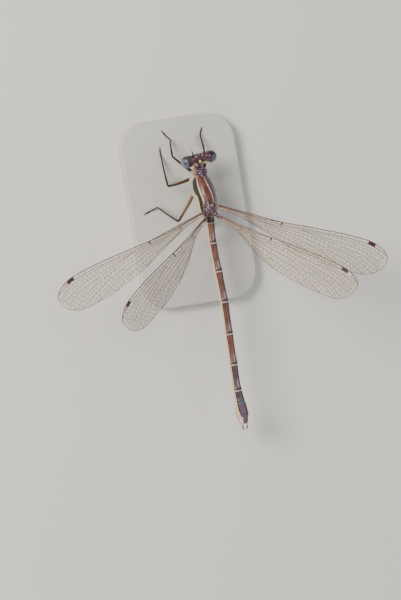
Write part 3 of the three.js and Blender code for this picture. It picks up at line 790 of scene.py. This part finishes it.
def thoraxPaint():
    paint = Paint("thorax cuticle")
    tones, bands = thoraxTones, thoraxBands
    around = paint.attribute("around")
    fine = paint.noise(6.0)
    turn = abs(around) + (fine - 0.5) * 3.0
    color = paint.blend(*tones["copper"], paint.noise(1.6).rise(0.35, 0.65))
    # painted shade and bluish sky reflection on the right side of the back
    color = paint.blend(color, tones["rightShadeAndReflection"], (1 - around.rise(-2, 2)) * 0.65)
    color = paint.blend(color, tones["shade"], turn.band(*bands["shade"], 4.0) * 0.5)
    color = paint.blend(color, paint.blend(*tones["green"], fine), turn.rise(*bands["green"]))
    low = turn - (1 - paint.y.rise(-4.7, -2.8)) * 24      # the flank begins lower in front
    color = paint.blend(color, paint.blend(*tones["flank"], paint.noise(2.0)), low.rise(*bands["flank"]))
    color = paint.blend(color, tones["belly"], turn.rise(*bands["belly"]))
    color = paint.blend(color, tones["stripe"], turn.band(*bands["stripe"], 0.8))
    color = paint.blend(color, tones["ridge"], 1 - turn.rise(*bands["ridge"]))
    # The collar behind the head
    collar = paint.blend(*tones["collar"], paint.noise(3.4).rise(0.46, 0.6))
    collar = paint.blend(collar, tones["collarSpots"], paint.noise(4.5).rise(0.62, 0.68))
    collarSides = paint.blend(*tones["collarSides"], paint.noise(3.8).rise(0.4, 0.56))
    collar = paint.blend(collar, collarSides, turn.rise(*bands["collarSides"]))
    collar = paint.blend(collar, tones["collarBelow"], turn.rise(*bands["collarBelow"]))
    color = paint.blend(collar, color, paint.y.rise(-5.95, -5.75))
    # The small plates between the wings
    plates = paint.blend(*tones["plates"], paint.noise(1.2).rise(0.4, 0.6))
    plates = paint.blend(tones["seams"], plates, paint.cells(2.1, "DISTANCE_TO_EDGE").rise(0.06, 0.2))
    # painted highlights: pale glints on the plates
    plates = paint.blend(plates, tones["plateGlints"], paint.noise(5.2).rise(0.62, 0.68))
    atWings = paint.y.rise(-2.15, -1.95) * (1 - turn.rise(*bands["plates"]))
    color = paint.blend(color, plates, atWings)
    rough = 0.32 + fine * 0.2
    return paint.finish(color, roughness=rough, coat=0.25, bump=paint.noise(14.0), bumpDepth=0.012)


settle(makeThorax(), thoraxPaint(), ["prothorax", "pterothorax"])
print("thorax made")


# Abdomen, one skin over all ten segments

abdomen = {
    "start": 0.14, "height": 4.8,
    # end of each segment, its sideways bend and height there, waist and end radius
    "segments": [
        (0.84, 0.06, 4.83, 0.66, 0.68), (3.7, 0.2, 4.86, 0.57, 0.62), (7.8, 0.05, 4.86, 0.56, 0.63),
        (12.2, -0.1, 4.84, 0.57, 0.63), (16.8, -0.02, 4.8, 0.57, 0.63), (21.2, 0.03, 4.74, 0.57, 0.64),
        (24.9, 0.04, 4.66, 0.58, 0.66), (26.6, -0.08, 4.62, 0.68, 0.76), (28.55, -0.26, 4.56, 0.8, 0.78),
        (29.5, -0.24, 4.54, 0.62, 0.55),
    ],
    "sides": 56,
    "rise": 0.98, "drop": 1.05,
    "twist": 14,             # degrees that its markings lean to the right
    "groove": 0.085, "grooveWidth": 0.07,
    "collar": 0.035, "collarBack": 0.26, "collarWidth": 0.14,
    "nearJoint": (0.0, 0.03, 0.06, 0.09, 0.13, 0.18, 0.24, 0.31, 0.4, 0.55),
    "step": 0.25,
    "foldAngle": 128, "foldWidth": 7, "foldDepth": 0.05,
    "backRise": 0.02, "backWidth": 6,
    "nosePlaces": (-0.5, -0.2, 0.0), "noseRadius": 0.62, "firstRadius": 0.68,
    "tailPlaces": (29.55, 29.6, 29.65, 29.69, 29.72), "roundFrom": 29.3, "roundLength": 0.46,
    "flare": 2.6,            # above 2, a segment widens only close to its ends
    "lastRing": 25,          # joints beyond this place show no pale ring
}
abdomenEnds = [abdomen["start"]] + [row[0] for row in abdomen["segments"]]
abdomenLine = [(-0.6, 0.0, 4.8), (abdomen["start"], 0.0, abdomen["height"])]
abdomenLine += [row[:3] for row in abdomen["segments"]]
abdomenLine.append((30.2, -0.24, 4.52))


def abdomenRadius(place):
    rows = abdomen["segments"]
    if place < abdomen["start"]:
        return abdomen["noseRadius"]
    index = next((i for i, row in enumerate(rows) if place <= row[0]), len(rows) - 1)
    start, end = abdomenEnds[index], rows[index][0]
    before = rows[index - 1][4] if index else abdomen["firstRadius"]
    waist, after = rows[index][3], rows[index][4]
    t = min(1.0, (place - start) / (end - start))
    side = before if t < 0.5 else after
    radius = waist + (side - waist) * abs(2 * t - 1) ** abdomen["flare"]
    for joint in abdomenEnds[1:-1]:
        radius -= abdomen["groove"] * hump(place - joint, abdomen["grooveWidth"])
        radius += abdomen["collar"] * hump(place - joint + abdomen["collarBack"], abdomen["collarWidth"])
    past = (place - abdomen["roundFrom"]) / abdomen["roundLength"]
    if past > 0:
        radius *= math.sqrt(max(0.05, 1 - past ** 2))
    return radius


def abdomenShape(place, angle):
    bend, height = smoothAt(abdomenLine, place)
    radius = abdomenRadius(place)
    degrees = abs(math.degrees(angle))
    radius -= abdomen["foldDepth"] * hump(degrees - abdomen["foldAngle"], abdomen["foldWidth"])
    radius += abdomen["backRise"] * hump(degrees, abdomen["backWidth"])
    upward = math.cos(angle) * radius * (abdomen["rise"] if math.cos(angle) > 0 else abdomen["drop"])
    return Vector((bend + math.sin(angle) * radius, place, height + upward))


def abdomenAngle(point):
    # Degrees round from the middle of the back, positive on the left
    bend, height = smoothAt(abdomenLine, point.y)
    return math.degrees(math.atan2(point.x - bend, point.z - height)) + abdomen["twist"]


def makeAbdomen():
    # Rings of edges stand close together at each joint and evenly between
    places = set(abdomen["nosePlaces"]) | set(abdomen["tailPlaces"])
    clear = abdomen["nearJoint"][-1]
    for start, end in zip(abdomenEnds, abdomenEnds[1:]):
        for offset in abdomen["nearJoint"]:
            if offset < (end - start) / 2:
                places |= {round(start + offset, 4), round(end - offset, 4)}
        inside = math.floor((end - start - 2 * clear) / abdomen["step"])
        places |= {round(start + clear + k * abdomen["step"], 4) for k in range(1, max(0, inside))}
    skin = wrapped("abdomen_skin", sorted(places), abdomen["sides"], abdomenShape)
    measured(skin, around=abdomenAngle)
    return skin


abdomenTones = {
    "copper": (tone(84, 40, 30), tone(124, 72, 48)), "violet": (tone(76, 50, 64), tone(96, 72, 96)),
    "ridgeHighlight": tone(146, 116, 112), "segmentEnd": tone(112, 72, 84), "endHighlight": tone(196, 160, 168),
    "blueSheen": tone(96, 98, 136), "sideLineAndShade": tone(32, 18, 18), "jointShade": tone(40, 24, 24),
    "cream": (tone(236, 210, 160), tone(208, 180, 136)), "belly": tone(150, 128, 104),
    "ring": tone(216, 196, 194), "tip": tone(228, 208, 200), "waist": tone(54, 32, 36),
}


def abdomenPaint():
    paint = Paint("abdomen cuticle")
    tones = abdomenTones
    around = paint.attribute("around")
    fine = paint.noise(5.0)
    turn = abs(around) + (fine - 0.5) * 8.0
    joints = abdomenEnds[1:-1]
    ringed = [joint for joint in joints if joint < abdomen["lastRing"]]
    beforeJoint = sum(paint.y.band(joint - 0.4, joint - 0.1, 0.08) for joint in joints)
    segmentEnd = sum(paint.y.band(joint - 1.5, joint - 0.3, 0.35) for joint in ringed)
    ring = sum(paint.y.band(joint - 0.04, joint + 0.1, 0.03) for joint in ringed)
    # the ridge of the back, where a highlight is painted
    ridgeHighlight = 1 - turn.rise(6, 20)
    copper = paint.blend(*tones["copper"], paint.noise(0.9).rise(0.3, 0.7))
    violet = paint.blend(*tones["violet"], paint.y.rise(25.4, 27.6))
    color = paint.blend(copper, violet, paint.y.rise(20.2, 22.4))
    # painted highlight along the ridge of the back
    color = paint.blend(color, tones["ridgeHighlight"], ridgeHighlight * 0.25)
    color = paint.blend(color, tones["segmentEnd"], segmentEnd * 0.6)
    # painted highlight on the ridge just before each joint
    color = paint.blend(color, tones["endHighlight"], ridgeHighlight * segmentEnd * 0.6)
    # painted bluish sheen on the back, near the end of the eighth segment
    blueSheen = paint.y.band(26.1, 26.9, 0.3) * (1 - turn.rise(20, 36))
    color = paint.blend(color, tones["blueSheen"], blueSheen * 0.7)
    sideLineAndRightShade = turn + (1 - around.rise(-6, 2)) * 30       # the side line reaches higher on the right, where painted shade widens it
    color = paint.blend(color, tones["sideLineAndShade"], sideLineAndRightShade.rise(42, 55) * 0.92)
    color = paint.blend(color, tones["jointShade"], beforeJoint * (0.75 - paint.y.rise(25.5, 26.0) * 0.45))
    paleSide = turn + paint.y.rise(27.6, 28.8) * 8        # and the cream on the last segments
    color = paint.blend(color, paint.blend(*tones["cream"], fine), paleSide.rise(61, 66))
    color = paint.blend(color, tones["belly"], turn.rise(122, 140) * 0.8)
    color = paint.blend(color, tones["ring"], ring * 0.9)
    tip = paint.y.rise(28.6, 28.9) * turn.band(40, 110, 6.0)
    color = paint.blend(color, tones["tip"], tip * 0.9)
    waist = (1 - paint.y.rise(0.7, 1.2)) * (1 - turn.rise(60, 80))
    color = paint.blend(color, tones["waist"], waist * 0.7)
    rough = 0.3 + fine * 0.22
    return paint.finish(color, roughness=rough, coat=0.2, bump=paint.noise(16.0), bumpDepth=0.012)


abdomenNodes = ["abdomen_s%d" % number for number in range(1, 11)]
settle(makeAbdomen(), abdomenPaint(), abdomenNodes)
print("abdomen made")


# Tail: two short claspers and the egg-laying blade below them

tail = {
    "middle": -0.24, "apart": 0.3, "root": (29.3, 4.66),
    "claspLength": 1.3, "claspDrop": 0.12, "claspBow": 0.1,
    "claspRadii": [(0, 0.17), (0.3, 0.2), (0.55, 0.13), (0.8, 0.08), (0.94, 0.06), (1, 0.02)],
    # y, middle, height there, half width and half height
    "blade": [(26.5, 0.02, 3.95, 0.16, 0.14), (27.0, 0.1, 3.74, 0.26, 0.3), (27.8, 0.16, 3.52, 0.33, 0.44),
              (28.6, 0.14, 3.42, 0.31, 0.48), (29.3, 0.0, 3.46, 0.24, 0.38), (29.7, -0.1, 3.5, 0.15, 0.22),
              (29.88, -0.14, 3.52, 0.05, 0.08)],
    "bladeSteps": 60, "bladeSides": 32,
    "slit": 0.06, "slitWidth": 14,       # between the blade's two halves, underneath
    "teeth": 0.02, "teethAngle": 160, "teethWidth": 12,
    "teethWave": 24,                     # radians for each millimetre
    "styliRadii": [(0, 0.05), (0.6, 0.04), (1, 0.015)],
}
tailTones = {
    "clasp": tone(206, 184, 170), "claspTip": tone(46, 28, 30),
    "blade": (tone(222, 200, 168), tone(196, 160, 130)), "bladeSpots": tone(90, 62, 56),
}


def claspPaint():
    paint = Paint("clasper cuticle")
    color = paint.blend(tailTones["clasp"], tailTones["claspTip"], paint.y.rise(29.95, 30.15))
    return paint.finish(color, roughness=0.4, bump=paint.noise(12.0), bumpDepth=0.01)


def bladePaint():
    paint = Paint("blade cuticle")
    color = paint.blend(*tailTones["blade"], paint.z.rise(3.15, 3.5))
    color = paint.blend(color, tailTones["bladeSpots"], paint.noise(3.0).rise(0.6, 0.75) * 0.6)
    return paint.finish(color, roughness=0.35, coat=0.2, bump=paint.noise(12.0), bumpDepth=0.012)


def makeClasper(name, side):
    root = Vector((tail["middle"] + side * tail["apart"], *tail["root"]))
    tip = root + Vector((side * -tail["claspBow"], tail["claspLength"], -tail["claspDrop"]))
    steps = stretch(root, tip, tail["claspRadii"], 14, (side * tail["claspBow"], 0, 0))
    return named(stalk(steps, (0, 0, 1), 18), "clasper_" + name)


def bladeShape(place, angle):
    bend, height, halfWidth, halfHeight = smoothAt(tail["blade"], place)
    degrees = abs(math.degrees(angle))
    slit = tail["slit"] * hump(degrees - 180, tail["slitWidth"])
    teeth = tail["teeth"] * math.sin(place * tail["teethWave"])
    teeth *= hump(degrees - tail["teethAngle"], tail["teethWidth"])
    reach = halfHeight * (1 - slit / max(halfHeight, 0.1)) + teeth
    return Vector((bend + math.sin(angle) * halfWidth, place, height + math.cos(angle) * reach))


def makeBlade():
    first, last, steps = tail["blade"][0][0], tail["blade"][-1][0], tail["bladeSteps"]
    places = [mix(first, last, k / steps) for k in range(steps + 1)]
    pieces = [wrapped("egg_blade", places, tail["bladeSides"], bladeShape)]
    for side in (1, -1):
        root, tip = (-0.02 + side * 0.1, 29.5, 3.4), (-0.04 + side * 0.16, 30.15, 3.2)
        pieces.append(stalk(stretch(root, tip, tail["styliRadii"], 6), (0, 0, 1), 8))
    return joined("egg_blade", pieces)


clasp = claspPaint()
for sideName, side in (("left", 1), ("right", -1)):
    settle(makeClasper(sideName, side), clasp, ["cercus_" + sideName])
settle(makeBlade(), bladePaint(), ["ovipositor"])
print("tail made")


# Head, with its feelers, between the two eyes

head = {
    "centre": (0.2, -8.35, 4.9), "turn": 5.4,
    # distance from the middle, half depth, forward shift, top and bottom
    "sections": [(0.0, 0.5, 0.18, 0.82, 0.8), (0.5, 0.52, 0.16, 0.84, 0.8), (0.9, 0.6, 0.09, 0.86, 0.84),
                 (1.25, 0.78, 0.0, 0.91, 0.9), (1.42, 0.81, 0.0, 0.92, 0.92)],
    "reach": 1.42,
    "eye": (1.76, 0.9, 0.88, 1.0),   # distance from the middle, then half width, depth and height
    "voxel": 0.04,
    # centre, radius and how far each ball is stretched
    "balls": [
        ((0, -0.5, -0.55), 0.62, (1.0, 0.62, 0.62)),        # upper lip shield
        ((0, -0.5, -1.12), 0.5, (1.05, 0.6, 0.62)),         # upper lip
        ((0.42, -0.22, -1.15), 0.36, (0.9, 1.0, 1.2)),      # jaws
        ((-0.42, -0.22, -1.15), 0.36, (0.9, 1.0, 1.2)),
        ((0, 0.06, -1.2), 0.45, (1.2, 0.6, 0.9)),           # lower lip
        ((0, -0.62, 0.2), 0.5, (1.5, 0.5, 0.7)),            # brow
    ],
    "sideBalls": [
        ((0.78, -0.6, 0.42), 0.2, (1, 1, 1)),               # feeler socket
        ((1.28, 0.34, 0.0), 0.52, (0.55, 0.8, 1.35)),       # cheek behind the eye
        ((0.85, 0.4, -0.15), 0.5, (1.1, 0.84, 1.0)),        # cheek beside the neck
    ],
    "ocelli": [(0.44, -0.4, 0.82), (-0.44, -0.4, 0.82), (0.0, -0.68, 0.7)], "ocellusRadius": 0.11,
    "occiput": (0.1, 0.36, 0.78), "occiputRadius": 0.24,
}
feeler = {
    # ends of the two thick parts and of the bristle, for the left one
    "root": (0.78, -0.62, 0.46), "knuckle": (0.84, -0.92, 0.66), "elbow": (0.88, -1.16, 0.8),
    "bristleRoot": (0.88, -1.14, 0.79), "tip": (1.04, -1.75, 1.1),
    "scape": [(0, 0.12), (0.5, 0.13), (1, 0.1)], "pedicel": [(0, 0.1), (0.4, 0.11), (1, 0.07)],
    "bristle": [(0, 0.05), (0.4, 0.03), (1, 0.01)],
}
headPlace = Matrix.Translation(head["centre"]) @ Matrix.Rotation(math.radians(head["turn"]), 4, "Z")


def headPoint(x, y, z):
    return headPlace @ Vector((x, y, z))


def headShape(place, angle):
    # The tube runs across the head, so its own y is the insect's x
    halfDepth, forward, top, bottom = smoothAt(head["sections"], abs(place))
    depth = softened(math.sin(angle), 2.3) * halfDepth
    upward = softened(math.cos(angle), 2.3) * (top if math.cos(angle) > 0 else bottom)
    brow = 0.1 * hump(abs(math.degrees(angle)) - 60, 22) if depth < 0 else 0.0
    return Vector((place, depth - forward - brow, upward))


def makeHead():
    places = [mix(-head["reach"], head["reach"], k / 50) for k in range(51)]
    pieces = [wrapped("head", places, 48, headShape)]
    for centre, radius, stretchBy in head["balls"]:
        pieces.append(ball(centre, radius, stretchBy))
    for side in (1, -1):
        for (x, y, z), radius, stretchBy in head["sideBalls"]:
            pieces.append(ball((side * x, y, z), radius, stretchBy))
    for ocellus in head["ocelli"]:
        pieces.append(ball(ocellus, head["ocellusRadius"], (1, 1, 0.9), 16))
    pieces.append(ball(head["occiput"], head["occiputRadius"], (1, 0.8, 0.5), 16))
    skin = fused("head_skin", pieces, head["voxel"], 1)
    skin.matrix_world = headPlace
    return skin


headTones = {
    "cuticle": (tone(46, 28, 34), tone(98, 68, 76)), "brown": tone(86, 56, 50),
    "face": (tone(186, 176, 130), tone(150, 140, 104)), "behind": tone(196, 182, 140),
    "ocellus": tone(176, 142, 150), "crownSpot": tone(156, 118, 122),
    "occiput": tone(232, 204, 120), "occiputMiddle": tone(90, 60, 50),
}
eyeTones = {
    "below": (tone(150, 162, 146), tone(112, 124, 134)), "above": tone(86, 82, 110),
    "amber": tone(196, 160, 112), "inner": tone(48, 28, 36), "front": tone(30, 20, 26),
    "spots": tone(24, 18, 40),
}
eyeSpots = [(1.75, -0.1, 0.98), (1.45, 0.45, 0.72), (2.3, 0.1, 0.78)]


def headSpot(paint, place, radius, soft):
    # 1 near a point of the head
    return paint.near(headPoint(*place)[:], radius, soft)


def headPaint():
    paint = Paint("head cuticle")
    tones = headTones
    mottle = paint.noise(4.0).rise(0.4, 0.62)
    color = paint.blend(*tones["cuticle"], mottle)
    color = paint.blend(color, tones["brown"], paint.noise(1.3).rise(0.54, 0.7))
    color = paint.blend(color, paint.blend(*tones["face"], mottle), 1 - paint.z.rise(4.35, 4.6))
    behind = paint.y.rise(-8.0, -7.85) * (1 - paint.z.rise(5.3, 5.5))
    color = paint.blend(color, tones["behind"], behind)
    for ocellus in head["ocelli"]:
        color = paint.blend(color, tones["ocellus"], headSpot(paint, ocellus, 0.11, 0.03))
    for side in (1, -1):
        color = paint.blend(color, tones["crownSpot"], headSpot(paint, (side, -0.2, 0.84), 0.1, 0.05))
    color = paint.blend(color, tones["occiput"], headSpot(paint, head["occiput"], 0.2, 0.04))
    color = paint.blend(color, tones["occiputMiddle"], headSpot(paint, head["occiput"], 0.06, 0.03))
    return paint.finish(color, roughness=0.36, coat=0.25, bump=paint.noise(16.0), bumpDepth=0.014)


def eyePaint():
    paint = Paint("eye")
    tones = eyeTones
    mottle = paint.noise(1.8)
    height = paint.z + (mottle - 0.5) * 0.5
    color = paint.blend(*tones["below"], height.rise(4.3, 5.0))
    color = paint.blend(color, tones["above"], height.rise(5.2, 5.7))
    color = paint.blend(color, tones["amber"], headSpot(paint, (-1.6, 0.9, 0.3), 0.32, 0.08))
    upper = paint.z.rise(4.9, 5.2)
    outward = abs(paint.x - head["centre"][0]) + (mottle - 0.5) * 0.2
    color = paint.blend(color, tones["inner"], (1 - outward.rise(1.62, 1.8)) * upper)
    color = paint.blend(color, tones["front"], (1 - paint.y.rise(-8.75, -8.5)) * upper)
    spots = sum(headSpot(paint, (side * x, y, z), 0.13, 0.09) for x, y, z in eyeSpots for side in (1, -1))
    color = paint.blend(color, tones["spots"], spots * 0.85)
    return paint.finish(color, roughness=0.28, coat=0.3, bump=paint.cells(26.0), bumpDepth=0.008)


def makeEye(name, side):
    middle, *halfSizes = head["eye"]
    eye = ball((side * middle, 0, 0), 1.0, halfSizes, 72)
    eye.matrix_world = headPlace
    return named(eye, "eye_" + name + "_skin")


def makeFeeler(name, side):
    def part(start, end, radii, steps, sides):
        ends = [headPoint(side * x, y, z) for x, y, z in (feeler[start], feeler[end])]
        return stalk(stretch(*ends, feeler[radii], steps), (0, 0, 1), sides)

    scape = part("root", "knuckle", "scape", 6, 12)
    pedicel = part("knuckle", "elbow", "pedicel", 6, 12)
    bristle = part("bristleRoot", "tip", "bristle", 8, 8)
    return joined("feeler_" + name, [scape, pedicel, bristle])


def feelerPaint():
    paint = Paint("feeler cuticle")
    color = paint.blend(tone(44, 30, 26), tone(96, 72, 60), paint.noise(4.0))
    return paint.finish(color, roughness=0.45)


settle(makeHead(), headPaint(), ["head", "mouthparts"])
eyeFinish, feelerFinish = eyePaint(), feelerPaint()
for sideName, side in (("left", 1), ("right", -1)):
    settle(makeEye(sideName, side), eyeFinish, ["eye_" + sideName])
    settle(makeFeeler(sideName, side), feelerFinish, ["antenna_" + sideName])
print("head made")


# Legs: thigh, shin, three-part foot with claws, and rows of long bristles

leg = {
    "coxa": [(0, 0.26), (0.5, 0.3), (1, 0.2)],
    "femur": [(0, 0.2), (0.1, 0.25), (0.5, 0.21), (0.88, 0.16), (0.96, 0.18), (1, 0.12)],
    "tibia": [(0, 0.1), (0.05, 0.15), (0.5, 0.125), (0.93, 0.115), (1, 0.1)],
    "tarsus": [(0, 0.08), (0.25, 0.105), (0.8, 0.1), (1, 0.06)],
    "femurBow": -0.12, "tibiaBow": -0.06, "femurFlat": 0.86, "tibiaFlat": 0.9,
    "ankleDrop": 0.08, "footHeight": 0.1,
    "footBend": 0.42, "footBendLift": 0.02,              # share of the foot, and its rise there
    "tarsusShares": (0.0, 0.22, 0.52, 0.97),
    # claw: ahead, aside, up and radius
    "claw": [(0, 0, 0, 0.035), (0.14, 0.08, 0.07, 0.028), (0.28, 0.13, -0.04, 0.008)],
    "bristleLength": 0.95, "bristleLean": 48, "bristleSpread": 38,
    "bristleRadius": 0.022, "bristleTip": 0.006,
    "femurBristles": (7, 0.25, 0.18), "tibiaBristles": (9, 0.1, 0.12),   # count, first share, reach
    "lowest": 0.04,
}


def perpendicular(direction, towards):
    direction = direction.normalized()
    return (towards - direction * towards.dot(direction)).normalized()


def bristles(start, end, inner, count, first, radius):
    lines = []
    along = (end - start).normalized()
    across = along.cross(inner)
    lean, spread = math.radians(leg["bristleLean"]), math.radians(leg["bristleSpread"])
    thick = leg["bristleRadius"]
    for side in (1, -1):
        for k in range(count):
            share = mix(first, 0.94, (k + 0.25 * (side + 1)) / count)
            out = inner * math.cos(spread) + across * side * math.sin(spread)
            root = start.lerp(end, share) + out * radius * 0.8
            length = leg["bristleLength"] * (0.75 + 0.4 * math.sin(math.pi * share))
            tip = root + (along * math.cos(lean) + out * math.sin(lean)) * length
            tip.z = max(tip.z, leg["lowest"])
            bend = root.lerp(tip, 0.5) + out * 0.04
            lines.append([(root, thick), (bend, thick * 0.75), (tip, leg["bristleTip"])])
    return lines


def claws(toe, forward):
    aside = forward.cross(Vector((0, 0, 1)))
    lines = []
    for side in (1, -1):
        lines.append([(toe + forward * ahead + aside * side * out + Vector((0, 0, up)), radius)
                      for ahead, out, up, radius in leg["claw"]])
    return lines


def makeLeg(name):
    hip, base, knee, ankle, toe = (Vector(point) for point in legJoints[name])
    toe.z = leg["footHeight"]
    ankle.z -= leg["ankleDrop"]
    femurInner = perpendicular(knee - base, ankle - knee)
    tibiaInner = perpendicular(ankle - knee, base - knee)
    downThigh = base + (knee - base).normalized() * 0.25
    coxa = stretch(base.lerp(hip, 0.3), downThigh, leg["coxa"], 8)
    femur = stretch(base, knee, leg["femur"], 26, femurInner * leg["femurBow"])
    tibia = stretch(knee, ankle, leg["tibia"], 26, tibiaInner * leg["tibiaBow"])
    parts = [stalk(coxa, femurInner, 18, -1.0)]
    parts.append(stalk(femur, femurInner, 18, 0.0, leg["femurFlat"]))
    parts.append(stalk(tibia, tibiaInner, 16, 1.0, leg["tibiaFlat"]))
    bend = ankle.lerp(toe, leg["footBend"])
    bend.z = leg["footHeight"] + leg["footBendLift"]
    footLine = [(0, *ankle), (leg["footBend"], *bend), (1, *toe)]
    shares = leg["tarsusShares"]
    for first, last in zip(shares, shares[1:]):
        start, end = smoothAt(footLine, first), smoothAt(footLine, last)
        parts.append(stalk(stretch(start, end, leg["tarsus"], 8), (0, 0, 1), 12, 2.0))
    lines = claws(toe, (toe - bend).normalized())
    lines += bristles(base, knee, femurInner, *leg["femurBristles"])
    lines += bristles(knee, ankle, tibiaInner, *leg["tibiaBristles"])
    hairs = strands("bristles", lines)
    measured(hairs, around=lambda point: 180.0)      # dark, as the outer side is
    return joined(name + "_skin", parts + [hairs])


legTones = {
    "dark": (tone(30, 20, 18), tone(56, 38, 32)), "pale": (tone(150, 112, 82), tone(118, 82, 58)),
}


def legPaint(name, tan):
    paint = Paint(name)
    around, along = paint.attribute("around"), paint.attribute("along")
    fine = paint.noise(6.0)
    dark, pale = paint.blend(*legTones["dark"], fine), paint.blend(*legTones["pale"], fine)
    color = paint.blend(pale, dark, (around + (fine - 0.5) * 20).rise(60, 84))
    thigh = paint.blend(pale, dark, (around + fine * 10).rise(150 - 40 * (1 - tan), 172))
    color = paint.blend(color, thigh, along.band(-2.0, 0.75, 0.15) * tan)
    color = paint.blend(color, dark, along.rise(1.9, 2.05) + along.band(0.9, 1.06, 0.04))
    return paint.finish(color, roughness=0.42, bump=paint.noise(14.0), bumpDepth=0.012)


legFinish, hindLegFinish = legPaint("leg cuticle", 0.25), legPaint("hind leg cuticle", 0.95)
for name in legJoints:
    finish = hindLegFinish if "hind" in name else legFinish
    settle(makeLeg(name), finish, [name + "_" + part for part in ("femur", "tibia", "tarsus")])
print("legs made")


# Base plate and stage

plate = {"width": 17, "length": 27, "corner": 4, "edge": 0.3}


def makePlate():
    deselectAll()
    height = -plateFoot.z
    bpy.ops.mesh.primitive_cube_add(size=1, location=(plateFoot.x, plateFoot.y, plateFoot.z / 2))
    piece = bpy.context.object
    piece.scale = (plate["width"], plate["length"], height)
    bpy.ops.object.transform_apply(location=True, rotation=True, scale=True)
    bevel = piece.data.attributes.new("bevel_weight_edge", "FLOAT", "EDGE")
    weights = []
    for edge in piece.data.edges:
        low, high = (piece.data.vertices[index].co.z for index in edge.vertices)
        weights.append(1.0 if abs(high - low) > height / 2 else 0.0)     # the four upright edges
    bevel.data.foreach_set("value", weights)
    modified(piece, "BEVEL", width=plate["corner"], segments=20, limit_method="WEIGHT")
    sharp = math.radians(60)
    modified(piece, "BEVEL", width=plate["edge"], segments=5, limit_method="ANGLE", angle_limit=sharp)
    return named(piece, "plate")


def platePaint():
    paint = Paint("stand paint")
    speck = paint.noise(3.0)
    color = paint.blend(tone(206, 203, 196), tone(216, 213, 207), speck)
    return paint.finish(color, roughness=0.5 + speck * 0.15, bump=paint.noise(5.0), bumpDepth=0.01)


settle(makePlate(), platePaint(), ["stand_base"], 40)


def makeStage():
    deselectAll()
    bpy.ops.mesh.primitive_plane_add(size=6, location=(0, 0, 0))
    floor = named(bpy.context.object, "floor")
    paint = Paint("floor")
    color = paint.blend(tone(232, 229, 222), tone(238, 235, 229), paint.noise(0.02))
    floor.data.materials.append(paint.finish(color, roughness=0.75))


lamps = {
    # place in millimetres from the insect, size in metres, power in watts and colour
    "key": ((230, -120, 250), 0.16, 1.5, (1.0, 0.95, 0.87)),
    "fill": ((-240, -40, 220), 0.3, 0.25, (0.8, 0.87, 1.0)),
    "rim": ((40, 280, 160), 0.2, 0.3, (1.0, 0.97, 0.92)),
}
studio = {"color": (0.9, 0.94, 1.0, 1.0), "strength": 0.3}


def makeLight():
    for name, (spot, size, power, color) in lamps.items():
        data = bpy.data.lights.new(name, "AREA")
        data.shape = "SQUARE"
        data.size = size
        data.energy = power
        data.color = color
        lamp = bpy.data.objects.new(name, data)
        bpy.context.collection.objects.link(lamp)
        place = bodyOrigin + Vector(spot) * mm
        aim = (bodyOrigin + Vector((0, 5, 4)) * mm - place).to_track_quat("-Z", "Y")
        lamp.matrix_world = Matrix.Translation(place) @ aim.to_matrix().to_4x4()
    world = bpy.data.worlds.new("studio")
    world.use_nodes = True
    background = world.node_tree.nodes["Background"]
    background.inputs["Color"].default_value = studio["color"]
    background.inputs["Strength"].default_value = studio["strength"]
    bpy.context.scene.world = world


makeStage()
makeLight()
bpy.context.view_layer.update()
print("stage and light made")
